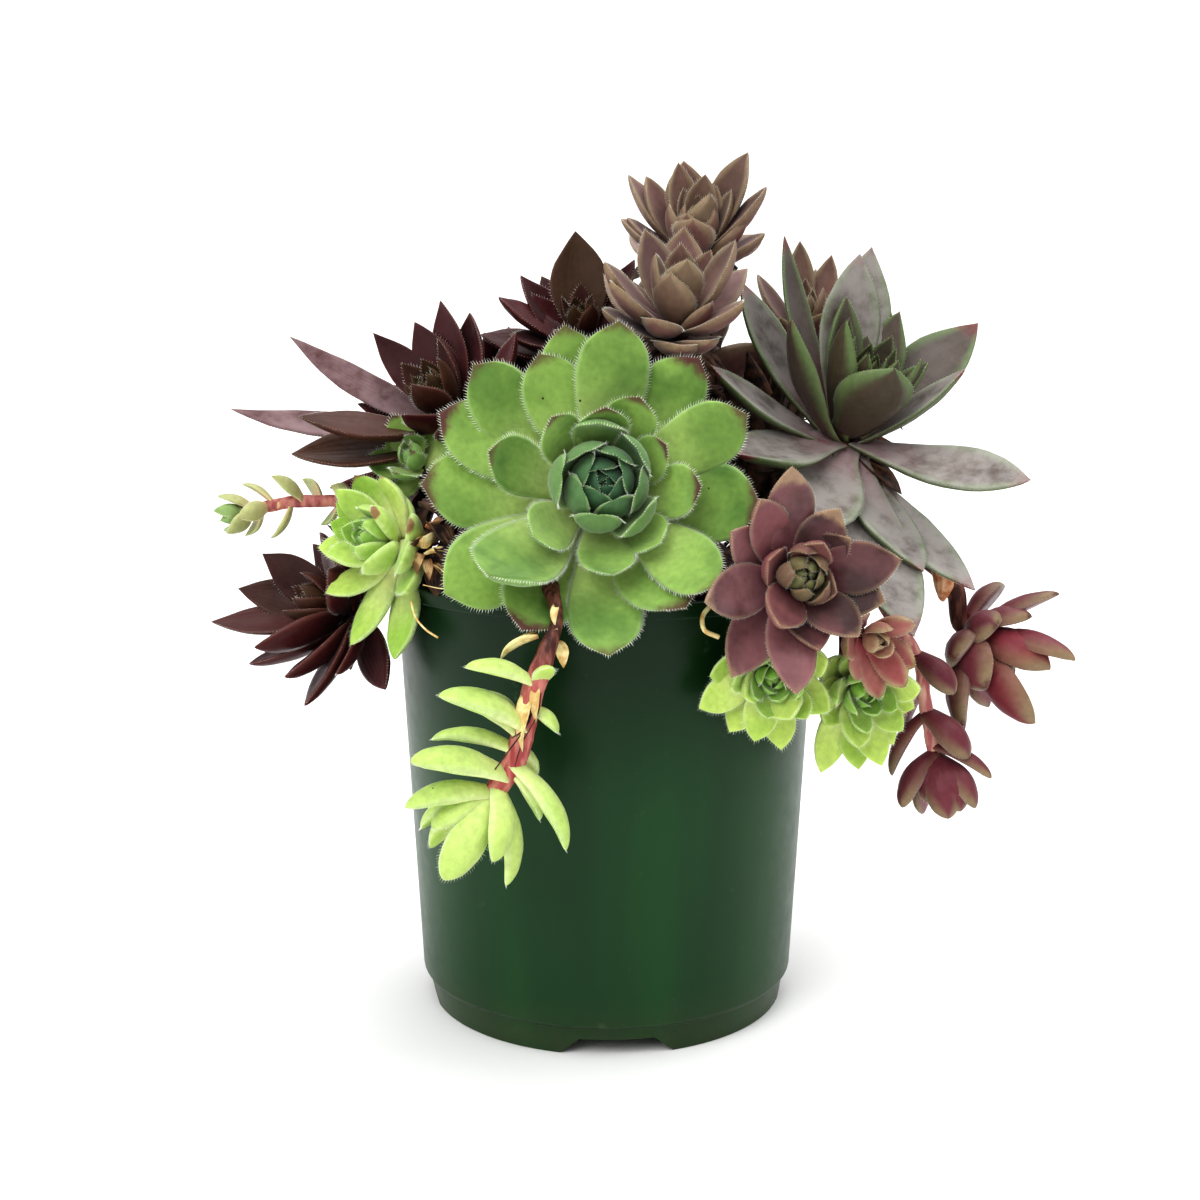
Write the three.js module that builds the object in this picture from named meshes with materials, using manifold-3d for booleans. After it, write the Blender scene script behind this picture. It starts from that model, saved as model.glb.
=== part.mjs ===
// Hens and chicks (Sempervivum) growing over the rim of a 4 inch nursery pot.
// Millimetres, +Z up. The plant is laid out about the pot's own upright axis, and the whole
// group is then moved so that the middle of its box stands over the origin.

import * as THREE from 'three';
import { mergeVertices } from 'three/addons/utils/BufferGeometryUtils.js';
import Module from 'manifold-3d';

const wasm = await Module();
wasm.setup();

// ---- Driving dimensions -------------------------------------------------------------------

const POT_AXIS_X = -7.1;
const POT_AXIS_Y = 3.4;

const RIM_RADIUS = 51;
const RIM_HEIGHT = 104;
const LIP_DEPTH = 3.5;
const LIP_PROUD = 0.8;
const STEP_RADIUS = 45.1;
const STEP_HEIGHT = 7.5;
const FOOT_TOP_RADIUS = 43.7;
const FOOT_RADIUS = 42.8;
const WALL = 1.4;
const FLOOR_UNDERSIDE = 4;
const FLOOR_THICKNESS = 1.4;
const POT_SIDES = 40;

const NOTCH_COUNT = 4;
const NOTCH_TOP_WIDTH = 17;
const NOTCH_BOTTOM_WIDTH = 27;
const NOTCH_TURN_DEG = 3;
const DRAIN_RADIUS = 4;
const DRAIN_CIRCLE = 29;

const SOIL_EDGE_HEIGHT = 95;
const SOIL_CROWN_HEIGHT = 101;
const SOIL_SIDES = 24;

const GAP = 0.35;
const STEM_SIDES = 6;
const TUBE_STEP_RADII = 4;
const CROWN_SIDES = 7;

// ---- Materials ----------------------------------------------------------------------------

const paint = (color, roughness) => new THREE.MeshStandardMaterial({ color, roughness, metalness: 0 });

const MATERIALS = {
  pot: paint(0x2c5230, 0.35),
  soil: paint(0x3a2b20, 0.95),
  green: paint(0x7fae4a, 0.6),
  lime: paint(0xa9c653, 0.6),
  mauve: paint(0x7b5a5a, 0.6),
  grey: paint(0x77706c, 0.6),
  red: paint(0x4d2424, 0.55),
  rose: paint(0x8a5064, 0.55),
  stolon: paint(0xb0655c, 0.7),
  dry: paint(0xb99b6b, 0.85),
};

// ---- Solids and geometries ----------------------------------------------------------------

const radians = THREE.MathUtils.degToRad;

function toSolid(geometry) {
  const bare = geometry.clone();
  bare.deleteAttribute('normal');
  bare.deleteAttribute('uv');
  const merged = mergeVertices(bare, 1e-4);
  const mesh = new wasm.Mesh({
    numProp: 3,
    vertProperties: new Float32Array(merged.attributes.position.array),
    triVerts: new Uint32Array(merged.index.array),
  });
  return new wasm.Manifold(mesh);
}

function toGeometry(solid) {
  const mesh = solid.getMesh();
  const geometry = new THREE.BufferGeometry();
  geometry.setAttribute('position', new THREE.BufferAttribute(mesh.vertProperties, 3));
  geometry.setIndex(new THREE.BufferAttribute(mesh.triVerts, 1));
  geometry.computeVertexNormals();
  return geometry;
}

const joinAll = (solids) => solids.reduce((whole, next) => whole.add(next));

function largestPiece(solid) {
  const pieces = solid.decompose();
  return pieces.reduce((best, next) => (next.volume() > best.volume() ? next : best));
}

function lathe(profile, sides) {
  const points = profile.map(([radius, height]) => new THREE.Vector2(radius, height));
  return new THREE.LatheGeometry(points, sides).rotateX(Math.PI / 2);
}

// ---- Directions of a rosette --------------------------------------------------------------
// A rosette faces along "axis": azimuth 0 is the front (-Y) and turns towards +X, and the
// elevation lifts it towards +Z. Seen from its own front, clock 0 is up and 90 is right.

function rosetteFrame(azimuthDeg, elevationDeg) {
  const azimuth = radians(azimuthDeg);
  const elevation = radians(elevationDeg);
  const axis = new THREE.Vector3(
    Math.sin(azimuth) * Math.cos(elevation),
    -Math.cos(azimuth) * Math.cos(elevation),
    Math.sin(elevation),
  );
  const up = new THREE.Vector3(
    -Math.sin(azimuth) * Math.sin(elevation),
    Math.cos(azimuth) * Math.sin(elevation),
    Math.cos(elevation),
  );
  const right = new THREE.Vector3().crossVectors(up, axis);
  return { axis, up, right };
}

// ---- Leaf ---------------------------------------------------------------------------------
// A leaf is a stack of four-cornered sections (two edges, a top and an underside) along a
// midrib that bends towards the rosette's axis. Each outline gives the half width, as a share
// of the greatest, at stations along the leaf; the last station is the pointed tip.

const OUTLINES = {
  spoon: { stations: [0, 0.6, 0.88], widths: [0.2, 1, 0.7], thickness: 0.18 },
  chick: { stations: [0, 0.58], widths: [0.2, 1], thickness: 0.28 },
  lance: { stations: [0, 0.52], widths: [0.2, 1], thickness: 0.2 },
  finger: { stations: [0, 0.6], widths: [0.5, 1], thickness: 0.42 },
};
const CUP = 0.22;
const LEAF_CURL_DEG = 24;
const LAYER_STEP = 2.2;

function midrib(base, axis, outward, openDeg, curlDeg, length) {
  const start = radians(openDeg + curlDeg / 2);
  const bend = radians(curlDeg);
  const chord = (2 / bend) * Math.sin(bend / 2);
  return (s) => {
    const angle = start - bend * s;
    const along = (Math.sin(start) - Math.sin(angle)) / bend / chord;
    const out = (Math.cos(angle) - Math.cos(start)) / bend / chord;
    const point = base.clone();
    point.addScaledVector(axis, along * length).addScaledVector(outward, out * length);
    const upper = axis.clone().multiplyScalar(Math.sin(angle)).addScaledVector(outward, -Math.cos(angle));
    return { point, upper };
  };
}

function leafGeometry(rosette, [clockDeg, openDeg, length, width], layer, grow) {
  const { axis, up, right } = rosette.frame;
  const clock = radians(clockDeg);
  const outward = up.clone().multiplyScalar(Math.cos(clock)).addScaledVector(right, Math.sin(clock));
  const side = new THREE.Vector3().crossVectors(axis, outward);
  const openShare = Math.min(Math.max(openDeg, 0) / 90, 1.25);
  const inset = rosette.crownRadius * 0.6 * Math.sin(radians(Math.min(openDeg, 90)));
  const base = rosette.heart.clone().addScaledVector(axis, -rosette.drop * openShare - layer * LAYER_STEP);
  base.addScaledVector(outward, inset);
  const at = midrib(base, axis, outward, openDeg, rosette.curl, length + grow);
  const outline = OUTLINES[rosette.outline];

  const corners = [];
  outline.stations.forEach((s, i) => {
    const { point, upper } = at(s);
    const half = (width / 2) * outline.widths[i] + grow * 1.5;
    const depth = half * 2 * outline.thickness * (1 - 0.35 * s) + grow;
    const edgeLift = half * CUP;
    corners.push(point.clone().addScaledVector(side, -half).addScaledVector(upper, edgeLift));
    corners.push(point.clone().addScaledVector(upper, depth * 0.3 + grow));
    corners.push(point.clone().addScaledVector(side, half).addScaledVector(upper, edgeLift));
    corners.push(point.clone().addScaledVector(upper, -depth * 0.7));
  });
  const tip = corners.push(at(1).point) - 1;

  const faces = [0, 1, 2, 0, 2, 3];
  const last = (outline.stations.length - 1) * 4;
  for (let ring = 0; ring < last; ring += 4) {
    for (let k = 0; k < 4; k += 1) {
      const next = (k + 1) % 4;
      faces.push(ring + k, ring + 4 + k, ring + 4 + next);
      faces.push(ring + k, ring + 4 + next, ring + next);
    }
  }
  for (let k = 0; k < 4; k += 1) {
    faces.push(last + k, tip, last + ((k + 1) % 4));
  }
  const geometry = new THREE.BufferGeometry().setFromPoints(corners);
  geometry.setIndex(faces);
  return geometry;
}

// ---- Crown: the short thick stem inside a rosette, ending in the closed bud of its heart ----

function crownGeometry(rosette, grow) {
  const radius = rosette.crownRadius + grow;
  const bottom = -rosette.drop * 1.25 - rosette.crownRadius - grow;
  const bud = rosette.bud + grow;
  const profile = [
    [0, bottom],
    [radius * 0.8, bottom],
    [radius, bottom * 0.5],
    [radius * 1.1, bud * 0.3],
    [radius * 0.7, bud * 0.75],
    [0, bud],
  ];
  const geometry = lathe(profile, CROWN_SIDES);
  const turn = new THREE.Quaternion().setFromUnitVectors(new THREE.Vector3(0, 0, 1), rosette.frame.axis);
  geometry.applyQuaternion(turn);
  return geometry.translate(...rosette.heart.toArray());
}

const crownFoot = (rosette) => rosette.drop * 1.25 + rosette.crownRadius;

function rosetteSolid(rosette, grow) {
  const leaves = rosette.leaves.map((leaf, i) => toSolid(leafGeometry(rosette, leaf, i % 2, grow)));
  return joinAll([toSolid(crownGeometry(rosette, grow)), ...leaves]);
}

// ---- Stem or stolon: a round shoot from the soil to the underside of a crown ---------------

function tube(points, radius, grow) {
  const path = new THREE.CatmullRomCurve3(points, false, 'centripetal');
  const section = new THREE.Shape();
  section.absarc(0, 0, radius + grow, 0, Math.PI * 2, false);
  return new THREE.ExtrudeGeometry(section, {
    steps: Math.max(4, Math.round(path.getLength() / (radius * TUBE_STEP_RADII))),
    curveSegments: STEM_SIDES / 2,
    extrudePath: path,
  });
}

function stemSolid(rosette, grow) {
  const axis = rosette.frame.axis;
  const top = rosette.heart.clone().addScaledVector(axis, -crownFoot(rosette) - GAP);
  const route = rosette.stem.map((point) => new THREE.Vector3(...point));
  return toSolid(tube([top, ...route], rosette.stemRadius, grow));
}

// ---- Rosettes -----------------------------------------------------------------------------
// heart: the point where the innermost leaves spring, from the pot's axis at the ground.
// face: azimuth and elevation of the rosette's axis. leaves: clock, opening from the axis,
// length and width. stem: the shoot's further points, down into the soil.

function whorl(count, firstClock, open, length, width) {
  const step = 360 / count;
  return Array.from({ length: count }, (_, i) => [firstClock + i * step, open, length, width]);
}

const ROSETTES = [
  {
    name: 'green_hen', paint: 'green', heart: [-1.6, -42, 127], face: [8, 18],
    drop: 8, crownRadius: 4.5, bud: 9, outline: 'spoon', stemRadius: 4.5,
    stem: [[-4, -20, 117], [-3, -14, 106], [-2, -12, 90]],
    leaves: [
      [9, 70, 36, 16], [350, 74, 36, 14], [338, 76, 31, 14], [316, 80, 37, 16], [300, 84, 36, 16],
      [273, 82, 36, 17], [238, 82, 38, 17.5], [213, 68, 37, 16], [180, 68, 38, 16], [152, 62, 34, 17],
      [134, 60, 36, 14], [98, 62, 36, 17], [64, 62, 36, 14], [36, 70, 36, 15], [358, 46, 21, 11.5],
      [26, 50, 25, 11.5], [320, 48, 23, 10.5], [288, 62, 27, 12.5], [229, 63, 36, 17],
      [96, 44, 25, 11.5], [181, 42, 21, 10.5], [62, 42, 20, 9.5], [236, 44, 20, 9.5], [140, 38, 19, 9],
    ],
  },
  {
    name: 'mauve_rosette_top', paint: 'mauve', heart: [20.8, 3, 180.5], face: [8, 62],
    drop: 5, crownRadius: 3.2, bud: 7, outline: 'lance', stemRadius: 3.5,
    stem: [[16, 18, 150], [12, 16, 120], [10, 14, 90]],
    leaves: [
      [300, 50, 23, 9], [308, 41, 22, 10], [328, 29, 20, 8], [355, 37, 23, 11], [11, 23, 17, 8],
      [36, 24, 17, 8], [62, 30, 25, 11], [83, 25, 18, 8], [106, 39, 23, 9], [122, 40, 17, 9],
      [150, 12, 14, 10], [268, 29, 15, 9], [335, 28, 14, 6], [273, 55, 19, 9], [267, 62, 19, 9],
      [120, 53, 19, 9], [187, 65, 15, 9], [0, 80, 20, 9], [60, 84, 19, 9], [320, 86, 19, 9],
      [200, 40, 17, 10], [220, 24, 14, 9],
    ],
  },
  {
    name: 'mauve_rosette_front', paint: 'mauve', heart: [15.6, -20, 164], face: [5, 56],
    drop: 6, crownRadius: 3.6, bud: 7, outline: 'lance', stemRadius: 3.5,
    stem: [[13, -3, 138], [10, 0, 112], [9, 0, 90]],
    leaves: [
      [340, 48, 22, 10], [10, 47, 24, 11], [6, 31, 17, 8], [41, 35, 19, 8], [90, 30, 23, 10],
      [131, 35, 14, 9], [137, 49, 22, 10], [159, 58, 17, 10], [209, 52, 18, 9], [269, 42, 25, 11],
      [245, 47, 24, 10], [243, 55, 24, 8], [282, 22, 17, 8], [217, 18, 17, 11], [183, 9, 16, 10],
      [186, 59, 18, 11], [60, 62, 20, 10], [310, 64, 20, 10], [30, 70, 19, 10],
    ],
  },
  {
    name: 'grey_hen', paint: 'grey', heart: [55, -12, 138.5], face: [35, 62],
    drop: 3, crownRadius: 5, bud: 14, outline: 'lance', stemRadius: 5,
    stem: [[43, 1, 114], [34, 2, 103], [30, 2, 90]],
    leaves: [
      [343, 44, 46, 9], [336, 56, 42, 14], [11, 31, 40, 16], [25, 30, 44, 16], [90, 45, 39, 17],
      [125, 38, 31, 11], [154, 73, 42, 15], [171, 102, 44, 14], [195, 107, 54, 18], [187, 101, 37, 16],
      [229, 102, 34, 19], [294, 69, 36, 13], [262, 88, 34, 16], [295, 39, 34, 15], [1, 28, 30, 12],
      [55, 32, 32, 12], [199, 25, 24, 18], [285, 19, 30, 12], [122, 27, 24, 10], [34, 30, 24, 10],
    ],
  },
  {
    name: 'rose_rosette', paint: 'rose', heart: [39, -57.5, 111], face: [14, 8],
    drop: 5, crownRadius: 3.4, bud: 7, outline: 'lance', stemRadius: 2.8,
    stem: [[33, -40, 110], [28, -32, 103], [26, -28, 90]],
    leaves: [
      [349, 62, 24, 11], [324, 55, 22, 10], [29, 56, 17, 10], [50, 48, 15, 9], [83, 52, 22, 11],
      [108, 52, 20, 11], [148, 48, 19, 10], [173, 52, 18, 10], [194, 61, 26, 11], [219, 76, 24, 11],
      [259, 66, 23, 11], [300, 62, 19, 10], [216, 44, 17, 10], [292, 42, 12, 9], [20, 34, 12, 8],
      [120, 32, 12, 8],
    ],
  },
  {
    name: 'red_rosette_middle', paint: 'red', heart: [-5.9, 6, 160], face: [-8, 60],
    drop: 5, crownRadius: 3.2, bud: 7, outline: 'lance', stemRadius: 3.2,
    stem: [[-4, 13, 130], [-3, 12, 108], [-2, 10, 90]],
    leaves: [
      [353, 34, 25, 14], [296, 44, 22, 11], [257, 50, 23, 11], [254, 68, 24, 13], [228, 62, 20, 11],
      [293, 44, 17, 9], [48, 46, 22, 10], [21, 44, 19, 9], [84, 50, 18, 10], [120, 46, 17, 10],
      [325, 60, 20, 10], [190, 40, 14, 10], [160, 56, 17, 10],
    ],
  },
  {
    name: 'red_hen', paint: 'red', heart: [-37, -6, 143], face: [-50, 48],
    drop: 9, crownRadius: 4.2, bud: 8, outline: 'lance', stemRadius: 4.2,
    stem: [[-24, 4, 118], [-21, 6, 104], [-20, 6, 90]],
    leaves: [
      [221, 50, 51, 12], [255, 44, 46, 9], [284, 38, 28, 9], [320, 36, 26, 12], [342, 40, 27, 11],
      [198, 53, 41, 13], [191, 46, 38, 12], [300, 60, 24, 11], [3, 48, 24, 13], [40, 56, 26, 12],
      [80, 58, 24, 12], [118, 52, 22, 12], [250, 58, 34, 12], [150, 40, 22, 9], [270, 68, 30, 12],
    ],
  },
  {
    name: 'red_rosette_low', paint: 'red', heart: [-64, -10, 97], face: [-70, 25],
    drop: 5, crownRadius: 3, bud: 6, outline: 'lance', stemRadius: 2.2,
    stem: [[-57, -6, 101], [-52, -4, 108.5], [-44, -1, 108], [-36, 2, 100], [-34, 3, 90]],
    leaves: [
      [206, 34, 30, 9], [246, 30, 27, 9], [285, 32, 23, 9], [191, 50, 26, 10], [150, 44, 24, 12],
      [142, 60, 26, 11], [137, 78, 28, 10], [118, 78, 24, 9], [119, 108, 24, 9], [310, 52, 20, 9],
      [345, 50, 18, 9], [25, 52, 18, 9], [62, 54, 18, 9], [170, 22, 15, 8],
    ],
  },
  {
    name: 'green_chick_left', paint: 'lime', heart: [-50, -26, 114], face: [-45, 20],
    drop: 6, crownRadius: 3, bud: 6, outline: 'chick', stemRadius: 2.4,
    stem: [[-37, -15, 106], [-33, -13, 99], [-31, -12, 90]],
    leaves: [
      [321, 62, 18, 9], [343, 59, 16, 9], [317, 44, 17, 8], [298, 42, 17, 8], [39, 32, 13, 8],
      [74, 52, 17, 9], [128, 40, 15, 9], [213, 58, 19, 8], [187, 78, 23, 9], [159, 80, 26, 9],
      [248, 46, 16, 8], [276, 40, 16, 8], [222, 36, 14, 8], [127, 64, 18, 9], [104, 58, 17, 9],
      [350, 65, 12, 8],
    ],
  },
  {
    name: 'green_chick_rear', paint: 'green', heart: [-43.3, -15, 130.7], face: [-20, 35],
    drop: 4, crownRadius: 2.4, bud: 5, outline: 'chick', stemRadius: 2,
    stem: [[-38, 7, 112], [-38, 10, 102], [-37, 11, 90]],
    leaves: [
      [325, 56, 13, 8], [296, 52, 11, 7], [257, 56, 12, 8], [8, 48, 11, 7], [192, 40, 10, 7],
      [208, 62, 13, 7], [60, 56, 12, 8], [110, 54, 12, 8],
    ],
  },
  {
    name: 'lime_chick_left', paint: 'lime', heart: [35, -50, 89], face: [-5, -10],
    drop: 4, crownRadius: 2.6, bud: 5, outline: 'chick', stemRadius: 1.8,
    stem: [[35, -44, 97], [31, -46, 104.5], [25, -42, 108.5], [20, -37, 104], [17, -33, 90]],
    leaves: [
      [248, 66, 17, 8], [216, 68, 16, 8], [196, 60, 15, 8], [176, 66, 17, 8], [250, 34, 11, 7],
      [272, 60, 14, 8], [154, 34, 13, 8], [310, 60, 13, 8], [20, 56, 12, 8], [70, 58, 13, 8],
      [118, 62, 14, 8],
    ],
  },
  {
    name: 'lime_chick_right', paint: 'lime', heart: [55, -40, 84], face: [15, -10],
    drop: 4, crownRadius: 2.6, bud: 5, outline: 'chick', stemRadius: 1.8,
    stem: [[53, -33, 93], [52, -31, 102], [47.5, -26, 108.5], [40, -20, 106], [36, -17, 90]],
    leaves: [
      [203, 74, 20, 8], [180, 64, 19, 8], [166, 62, 18, 8], [146, 58, 16, 8], [76, 40, 15, 8],
      [50, 46, 14, 8], [196, 44, 15, 8], [226, 58, 12, 8], [262, 60, 13, 8], [300, 58, 12, 8],
      [340, 56, 12, 8], [112, 56, 14, 8],
    ],
  },
  {
    name: 'pink_bud', paint: 'rose', heart: [55, -50, 97], face: [25, -8],
    drop: 1.5, crownRadius: 1.8, bud: 4, outline: 'finger', stemRadius: 1.4,
    stem: [[51, -43, 101], [47, -38, 107.5], [42, -33, 110.5], [38, -29, 106], [35, -26, 90]],
    leaves: [
      [200, 70, 9, 5], [119, 52, 13, 5], [175, 66, 13, 5], [250, 50, 9, 5], [145, 54, 13, 5],
      [320, 50, 9, 5], [50, 48, 10, 5],
    ],
  },
  {
    name: 'right_hanging_chick', paint: 'rose', heart: [88, -15, 88.5], face: [60, -35],
    drop: 4, crownRadius: 2.6, bud: 5, outline: 'chick', stemRadius: 2.2,
    stem: [
      [81, -12, 101], [75, -11, 107.5], [66, -10, 111], [56, -9, 111], [47, -7, 108], [41, -5, 100],
      [39, -4, 90],
    ],
    leaves: [
      [18, 67, 20, 6], [50, 93, 15, 7], [4, 30, 22, 7], [346, 20, 19, 9], [226, 23, 23, 9],
      [250, 44, 16, 9], [218, 58, 22, 9], [317, 60, 10, 8], [257, 80, 12, 8], [4, 53, 14, 7],
      [95, 52, 16, 8], [130, 56, 16, 8], [160, 50, 17, 8],
    ],
  },
  {
    name: 'narrow_rosette_rear', paint: 'mauve', heart: [50, 28, 160], face: [10, 76],
    drop: 4, crownRadius: 2.6, bud: 6, outline: 'lance', stemRadius: 2.6,
    stem: [[44, 28, 130], [36, 24, 108], [33, 22, 90]],
    leaves: [
      [350, 26, 24, 8], [40, 30, 24, 8], [20, 44, 20, 8], [85, 46, 20, 8], [310, 46, 20, 8],
      [130, 52, 18, 8], [180, 54, 18, 8], [225, 54, 18, 8], [268, 54, 18, 8],
    ],
  },
  {
    name: 'dark_rosette_rear', paint: 'red', heart: [66, 22, 151], face: [30, 66],
    drop: 4, crownRadius: 2.6, bud: 6, outline: 'lance', stemRadius: 2.6,
    stem: [[58, 20, 126], [46, 14, 112], [38, 12, 102], [36, 11, 90]],
    leaves: [
      [31, 30, 20, 8], [60, 34, 18, 8], [356, 40, 19, 8], [100, 48, 18, 8], [145, 50, 17, 8],
      [190, 50, 17, 8], [235, 50, 17, 8], [280, 50, 17, 8], [322, 50, 17, 8],
    ],
  },
  {
    name: 'mauve_hen_rear', paint: 'mauve', heart: [14, 36, 150], face: [176, 42],
    drop: 7, crownRadius: 4, bud: 8, outline: 'lance', stemRadius: 3.4,
    stem: [[14, 25, 125], [15, 24, 105], [15, 23, 90]],
    leaves: [...whorl(9, 5, 74, 29, 13), ...whorl(7, 25, 48, 21, 11)],
  },
  {
    name: 'red_hen_rear', paint: 'red', heart: [-22, 26, 146], face: [215, 48],
    drop: 6, crownRadius: 3.6, bud: 7, outline: 'lance', stemRadius: 3.2,
    stem: [[-15, 17, 122], [-15, 15, 105], [-14, 14, 90]],
    leaves: [...whorl(8, 0, 70, 25, 12), ...whorl(6, 20, 44, 17, 10)],
  },
  {
    name: 'green_chick_right', paint: 'green', heart: [52, 24, 112], face: [112, 25],
    drop: 4, crownRadius: 2.8, bud: 5, outline: 'chick', stemRadius: 2.2,
    stem: [[40, 19, 105], [40, 17, 98], [40, 16, 90]],
    leaves: [...whorl(8, 0, 66, 18, 8), ...whorl(5, 22, 42, 13, 7)],
  },
  {
    name: 'green_hen_rear', paint: 'green', heart: [-14, 44, 126], face: [192, 30],
    drop: 6, crownRadius: 4, bud: 8, outline: 'chick', stemRadius: 4,
    stem: [[-11, 27, 112], [-10, 23, 102], [-9, 22, 90]],
    leaves: [...whorl(9, 0, 78, 27, 15), ...whorl(6, 14, 46, 18, 11)],
  },
  {
    name: 'rose_rosette_rear', paint: 'rose', heart: [28, 50, 122], face: [160, 28],
    drop: 5, crownRadius: 3.4, bud: 7, outline: 'lance', stemRadius: 3.2,
    stem: [[24, 36, 110], [24, 33, 101], [25, 32, 90]],
    leaves: [...whorl(9, 10, 68, 23, 11), ...whorl(5, 30, 40, 16, 9)],
  },
  {
    name: 'red_rosette_rear', paint: 'red', heart: [-47, 27, 128], face: [235, 38],
    drop: 5, crownRadius: 3.4, bud: 7, outline: 'lance', stemRadius: 3.2,
    stem: [[-35, 19, 113], [-30, 17, 103], [-28, 16, 90]],
    leaves: [...whorl(9, 0, 64, 25, 11), ...whorl(5, 20, 38, 17, 10)],
  },
];

// ---- Leafy shoots: a stem with leaves all along it ------------------------------------------
// Each leaf has its place along the shoot (0 to 1), its clock round the shoot, its opening from
// the shoot's direction, its length and its width.

const SHOOTS = [
  {
    name: 'hanging_green_chick', paint: 'lime', radius: 2.2,
    route: [
      [-12.5, -38, 90], [-12.5, -42, 100], [-12.5, -47, 107], [-11.5, -53, 106.5], [-10.5, -58.5, 102],
      [-12.5, -61.5, 96], [-15, -62, 89], [-17, -62, 81], [-19, -61.5, 73.5], [-24.5, -61.5, 65],
    ],
    tail: 3,
    leaves: [
      [0.64, 111, 96, 16, 5], [0.65, 220, 150, 7, 4], [0.71, 262, 68, 8, 4], [0.77, 112, 108, 20, 7],
      [0.79, 64, 112, 15, 7], [0.84, 351, 79, 20, 5], [0.84, 253, 56, 12, 5], [0.88, 166, 68, 21, 6],
      [0.90, 191, 65, 13, 5], [0.92, 24, 76, 21, 7], [0.96, 133, 50, 16, 6], [0.96, 173, 45, 21, 6],
      [0.98, 22, 58, 19, 6], [0.99, 337, 34, 18, 6], [0.99, 33, 39, 14, 6], [0.99, 336, 20, 18, 6],
      [0.99, 94, 30, 20, 7],
    ],
  },
  {
    name: 'left_sprout', paint: 'lime', radius: 1.7,
    route: [
      [-36, -6, 90], [-40, -8, 104], [-46, -11, 114], [-56, -14, 121], [-66, -15, 122],
      [-74, -15, 121.5], [-84, -15, 119],
    ],
    tail: 3.2,
    leaves: [
      [0.62, 60, 60, 9, 4], [0.66, 200, 60, 8, 4], [0.72, 300, 62, 10, 4], [0.78, 30, 56, 10, 4],
      [0.82, 180, 56, 10, 4], [0.88, 330, 50, 10, 4], [0.90, 90, 50, 9, 4], [0.92, 210, 46, 9, 4],
      [0.95, 0, 40, 9, 5], [0.96, 140, 36, 8, 5],
    ],
  },
  {
    name: 'right_trailing_chick', paint: 'rose', radius: 1.5,
    route: [
      [39, -11, 90], [41, -12, 102], [47, -15, 109], [54, -18, 109], [60, -22, 103], [65, -24, 95.5],
      [70.5, -25, 87], [72, -25, 79], [73.5, -25, 71], [75.5, -26, 61],
    ],
    tail: 2,
    leaves: [
      [0.68, 313, 34, 12, 6], [0.77, 53, 35, 11, 5], [0.84, 218, 47, 14, 7], [0.84, 84, 41, 17, 5],
      [0.93, 241, 58, 15, 4], [0.95, 115, 53, 15, 6], [0.96, 55, 27, 14, 6], [0.96, 173, 34, 15, 7],
      [0.96, 201, 34, 14, 7], [0.96, 226, 41, 15, 6], [0.96, 144, 37, 11, 6],
    ],
  },
];

function shootLeafGeometry(path, [place, clockDeg, openDeg, length, width], grow) {
  const heart = path.getPointAt(place);
  const axis = path.getTangentAt(place);
  const up = new THREE.Vector3(0, 0, 1).addScaledVector(axis, -axis.z);
  if (up.lengthSq() < 0.1) {
    up.set(0, 1, 0).addScaledVector(axis, -axis.y);
  }
  up.normalize();
  const right = new THREE.Vector3().crossVectors(up, axis);
  const stub = {
    frame: { axis, up, right },
    heart,
    drop: 0,
    crownRadius: 0,
    curl: LEAF_CURL_DEG,
    outline: 'finger',
  };
  return leafGeometry(stub, [clockDeg, openDeg, length, width], 0, grow);
}

function shootSolid(shoot, grow) {
  const points = shoot.route.map((point) => new THREE.Vector3(...point));
  const path = new THREE.CatmullRomCurve3(points, false, 'centripetal');
  const leaves = shoot.leaves.map((leaf) => toSolid(shootLeafGeometry(path, leaf, grow)));
  const bud = new THREE.SphereGeometry(shoot.tail + grow, 6, 4).translate(...points.at(-1).toArray());
  return joinAll([toSolid(tube(points, shoot.radius, grow)), toSolid(bud), ...leaves]);
}

// ---- Dry leaves: papery strips lying on the soil and hanging on at the shoots --------------

const DRY_LEAVES = [
  { name: 'dry_leaf_left', at: [-39.9, -16, 111.8], face: [-70, 20], size: [8, 5.5] },
  { name: 'dry_leaf_front', at: [-14.5, -60, 98.8], face: [-80, -32], size: [9, 4.5] },
  { name: 'dry_leaf_right', at: [75.4, -16, 106.3], face: [120, -71], size: [8.5, 6] },
  { name: 'dry_leaf_rear', at: [2, 36, 98.2], face: [180, -25], size: [16, 7] },
];

function dryLeafSolid(leaf, grow) {
  const stub = {
    frame: rosetteFrame(leaf.face[0], leaf.face[1] + 90),
    heart: new THREE.Vector3(...leaf.at),
    drop: 0,
    crownRadius: 0,
    curl: -40,
    outline: 'finger',
  };
  return toSolid(leafGeometry(stub, [180, 90, ...leaf.size], 0, grow));
}

// ---- Pot ------------------------------------------------------------------------------------

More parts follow.
